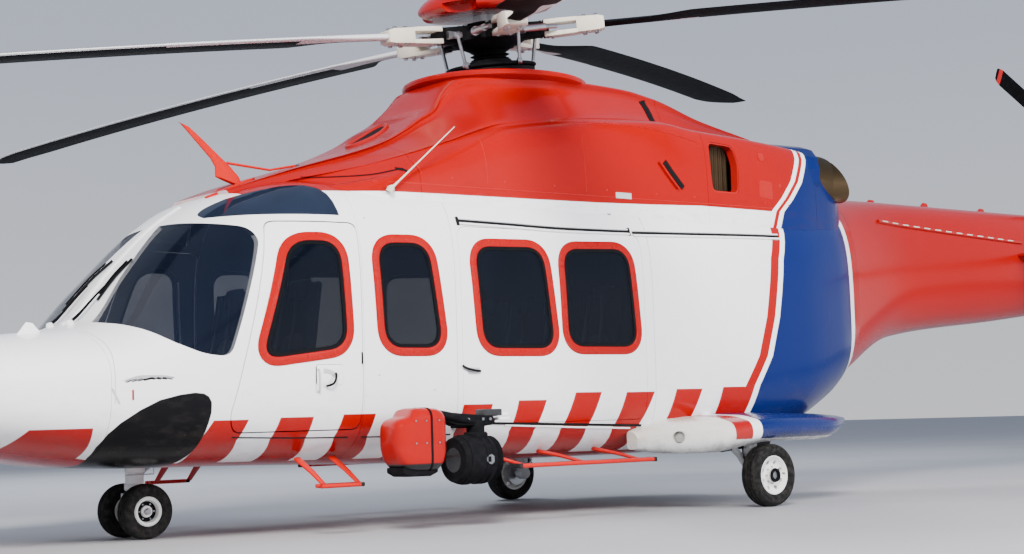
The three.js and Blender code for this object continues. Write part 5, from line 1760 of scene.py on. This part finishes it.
for label, side in SIDES:
    intake = built(((INTAKE_MESH, mesh_folds, side), (DEEP_RED, intake_frame, side)))
    trim(f"upper_deck_trim_{label}", side, DECK_TRIM, "airframe", cowl_on, intake)
    start, way, _ = exhaust_line(side)
    shroud = turned(SHROUD, start, way, 14, 20, f"exhaust_shroud_{label}")
    dress(shroud, BLUE_PAINT, "airframe")
    trim(f"boom_strake_{label}", side, [(DEEP_RED, ribbon, STRAKE, .03, .02)], "airframe")
    trim(f"boom_glint_dashes_{label}", side, GLINT_DASHES, "airframe")

assembly("mast_inlet", built((
    (DEEP_RED, loft, inlet_rings(((1.12, -.006), (1.1, .012), (1, .016), (.93, .004), (.9, -.002))), False),
    # The black oval standing just proud of the cowl is painted shade for the inlet's dark opening.
    (SLOT_BLACK, loft, inlet_rings(((.95, -.002), (.9, .004), (.6, .0045), (.02, .005)))),
)), "airframe")
blades = []
for x, tall in ((6.75, .05), (7.5, .035), (8.3, .045), (9.2, .035)):
    z = hull_roof(x, 0)
    corners = [(x - .07, z - .01), (x + .08, z - .01), (x + .06, z + tall), (x, z + tall * 1.1)]
    blades.append((RED_PAINT, bar, corners, -.008, .008, .003))
assembly("boom_blades", built(blades), "airframe")


# Cabin

def place_at(origin, x_axis, y_axis):
    x_axis, y_axis = Vector(x_axis).normalized(), Vector(y_axis).normalized()
    turn = Matrix((x_axis, y_axis, x_axis.cross(y_axis))).transposed().to_4x4()
    return Matrix.Translation(Vector(origin)) @ turn


def pad_plan(u, v, wide, deep):
    """Where a point of the unit square falls on a cushion, whose sides pull in between its corners."""
    pull = 1 - .022 * (1 - v * v) * abs(u) ** 6
    pinch = 1 - .022 * (1 - u * u) * abs(v) ** 6
    return (u * math.sqrt(1 - v * v * .18) * wide / 2 * pull,
            v * math.sqrt(1 - u * u * .18) * deep / 2 * pinch)


def pillow(name, size, turn, channels=(), crown=.018, count=30):
    """A crowned cushion with piping and sewn channels."""
    wide, deep, tall = size
    n = count + 1
    verts, faces, edge = [], [], []
    for top in (1, 0):
        for i in range(n):
            for j in range(n):
                u, v = -1 + 2 * i / count, -1 + 2 * j / count
                full = ((1 - abs(u) ** 5) * (1 - abs(v) ** 5)) ** .45
                height = tall * (.45 + .55 * full) + crown * full * (1 - .5 * (u * u + v * v))
                for c in channels:
                    height -= .011 * math.exp(-((v - c) / .035) ** 2) * full
                low = tall * .45 * (1 - full)
                verts.append(turn @ Vector((*pad_plan(u, v, wide, deep), height if top else low)))
    for layer in (0, 1):
        for i in range(count):
            for j in range(count):
                a = layer * n * n + i * n + j
                quad = (a, a + n, a + n + 1, a + 1)
                faces.append(quad if layer == 0 else quad[::-1])
    pad = mesh_object(name, verts, faces, 60)
    tidy_normals(pad.data, 60, 1e-4)
    for u0, v0, du, dv in ((-1, -1, 2, 0), (1, -1, 0, 2), (1, 1, -2, 0), (-1, 1, 0, -2)):
        for k in range(12):
            u, v = u0 + du * k / 12, v0 + dv * k / 12
            edge.append(turn @ Vector((*pad_plan(u, v, wide, deep), tall * .45)))
    piping = tube(edge + edge[:1], .0045, 8, False)
    piece = assembly(name, [clad(pad, CUSHION_CLOTH), clad(piping, PIPING)], "airframe")


def seat_set(name, x, y, width, node=None):
    """Shell, belts, cushions and headrest of one seat that faces forward."""
    half = width / 2
    rows = [
        (SHELL, bar, [(x + .08, .63), (x + .42, .63), (x + .44, .9), (x + .06, .9)],
         y - half * .6, y + half * .6, .02, 3),
        (SHELL, bar, [(x + .01, .9), (x + .46, .9), (x + .5, .93), (x + .6, 1.63), (x + .57, 1.64),
                      (x + .46, .955), (x + .01, .93)], y - half + .005, y + half - .005, .008),
    ]
    for dy in (-.07, .07):
        path = [(x + .503, y + dy, 1.6), (x + .475, y + dy * 1.25, 1.4), (x + .43, y + dy * 1.3, 1.2),
                (x + .385, y + dy * 1.2, 1.07), (x + .2, y + dy * 1.6, 1.055)]
        rows.append((BELT, tube, spline(path, 5), .022, 10, True, .14))
    rows.append((STEEL, box, x + .2, x + .25, y - .03, y + .03, 1.05, 1.075, .008, 2))
    assembly(name + "_shell", built(rows), "airframe", node)
    flat = place_at((x + .22, y, .932), AFT, STARBOARD)
    pillow(name + "_cushion", (.44, width - .03, .1), flat, (-.36, .36))
    lean = Vector((.11, 0, .62)).normalized()
    upright = place_at((x + .51, y, 1.27), -lean, STARBOARD)
    pillow(name + "_back", (.5, width - .05, .07), upright, (-.36, .36))
    rest = place_at((x + .55, y, 1.6), -lean, STARBOARD)
    pillow(name + "_headrest", (.15, width * .5, .055), rest, (), .012, 22)


for label, side in SIDES:
    seat_set("crew_seat_" + label, .43, side * .44, .5, "crew_seat_" + label)
for k, y in enumerate((-.69, -.23, .23, .69)):
    seat_set(f"cabin_seat_{k + 1}", 2.93, y, .44, "cabin_seats" if k == 0 else None)
plinth = bar([(2.99, .622), (3.37, .622), (3.37, .7), (2.99, .7)], -.8, .8, .01)
plinth.name = "cabin_seat_plinth"
dress(plinth, SHELL, "airframe")

hood = []
for y in np.linspace(-.7, .7, 29):
    t = abs(y) / .7
    low, high = .9 + .08 * t ** 4, 1.29 - .05 * t ** 4
    rise = .016 * cos(pi * min(1, t)) - .016 * t
    hood.append([(-.255, y, low), (-.265, y, high - .03), (-.24, y, high + rise),
                 (-.14, y, high + .012 + rise), (-.02, y, high - .005 + rise),
                 (.02, y, high - .03 + rise), (.018, y, high - .05 + rise), (-.05, y, high - .06),
                 (-.005, y, low)])
dash_parts = built([(PANEL_BLACK, loft, hood, True, 50)])
for y in (-.52, -.26, .0, .26, .52):
    face = place_at((-.042, y, 1.08), STARBOARD, (-.13, 0, .98))
    screen = clad(box(-.1, .1, -.075, .075, -.006, .006, .004, 2), SCREEN)
    dash_parts.append(placed(screen, face))
PEDESTAL = [(-.2, .632), (.6, .632), (.6, .86), (.1, .9), (-.1, .93), (-.2, .93)]
knobs = [(x, y, .9 - (x - .1) * .08) for x in np.arange(.14, .58, .05) for y in (-.1, -.05, 0, .05, .1)]
dash_parts += built((
    (PANEL_BLACK, bar, PEDESTAL, -.135, .135, .015, 3),
    (RAIL_GREY, bolts, knobs, (.08, 0, 1), .008, .016, 10),
))
assembly("instrument_panel_set", dash_parts, "airframe", "instrument_panel")

for name, material in (("cabin_floor", LINER), ("powerplant", MOULDED)):
    clad(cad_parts[name], material)


# Camera, floor and light

CAMERA_AT, YAW, PITCH, ROLL = Vector((-5.0185, -10.1592, .6855)), .6795, .0841, -.03
FOCAL_PIXELS, PHOTO_WIDTH, SENSOR_WIDTH = 1699.83, 1024, 36
LIGHTING = (
    # name, place, aim, size, power, colour, seen in reflections
    ("key", (-9, -14, 13), (2, 0, 1.5), 7, 9500, (1, .97, .93), False),
    ("fill", (9, -15, 6), (4, 0, 1.5), 8, 3600, (.95, .97, 1), False),
    ("back", (6, 14, 12), (3, 0, 2), 6, 2600, (.9, .95, 1), False),
    ("glint", (-5, -13, 9), (2, 0, 2), 1.3, 130, (1, .98, .95), True),
)


def make_camera():
    ahead = Vector((sin(YAW) * cos(PITCH), cos(YAW) * cos(PITCH), sin(PITCH)))
    level = Vector((cos(YAW), -sin(YAW), 0))
    rise = level.cross(ahead)
    right = level * cos(ROLL) + rise * sin(ROLL)
    up = rise * cos(ROLL) - level * sin(ROLL)
    data = bpy.data.cameras.new("camera")
    data.sensor_fit, data.sensor_width = "HORIZONTAL", SENSOR_WIDTH
    data.lens = FOCAL_PIXELS * SENSOR_WIDTH / PHOTO_WIDTH
    data.clip_start, data.clip_end = .05, 400
    camera = bpy.data.objects.new("camera", data)
    turn = Matrix((right, up, -ahead)).transposed().to_4x4()
    camera.matrix_world = Matrix.Translation(CAMERA_AT + SHIFT) @ turn
    bpy.context.scene.collection.objects.link(camera)
    bpy.context.scene.camera = camera


def make_floor():
    m = Stuff("floor", rough=.62)
    m.done(m.mix(m.noise(.5, 6), (.34, .34, .36), (.42, .42, .43)), None, m.noise(9, 6), .004, .2)
    floor = mesh_object("floor", [(-60, -60, -.001), (90, -60, -.001), (90, 110, -.001), (-60, 110, -.001)],
                        [(0, 1, 2, 3)])
    clad(floor, m.material)


def make_world():
    """A pale sky that darkens upward."""
    world = bpy.data.worlds.new("studio")
    bpy.context.scene.world = world
    world.use_nodes = True
    tree = world.node_tree
    place = tree.nodes.new("ShaderNodeTexCoord")
    split = tree.nodes.new("ShaderNodeSeparateXYZ")
    ramp = tree.nodes.new("ShaderNodeValToRGB")
    tree.links.new(place.outputs["Generated"], split.inputs[0])
    tree.links.new(split.outputs[2], ramp.inputs[0])
    stops = ramp.color_ramp.elements
    stops[0].position, stops[0].color = 0, (.95, .96, 1, 1)
    stops[1].position, stops[1].color = .75, (.42, .5, .68, 1)
    stops.new(.22).color = (.68, .74, .88, 1)
    tree.links.new(ramp.outputs[0], tree.nodes["Background"].inputs["Color"])
    tree.nodes["Background"].inputs["Strength"].default_value = .8


def area_light(name, at, toward, size, power, color, glossy):
    data = bpy.data.lights.new(name, "AREA")
    data.shape, data.size, data.energy, data.color = "DISK", size, power, color
    light = bpy.data.objects.new(name, data)
    light.location = Vector(at) + SHIFT
    light.rotation_euler = (Vector(toward) - Vector(at)).to_track_quat("-Z", "Y").to_euler()
    light.visible_glossy = glossy
    bpy.context.scene.collection.objects.link(light)


make_camera()
make_floor()
make_world()
for row in LIGHTING:
    area_light(*row)
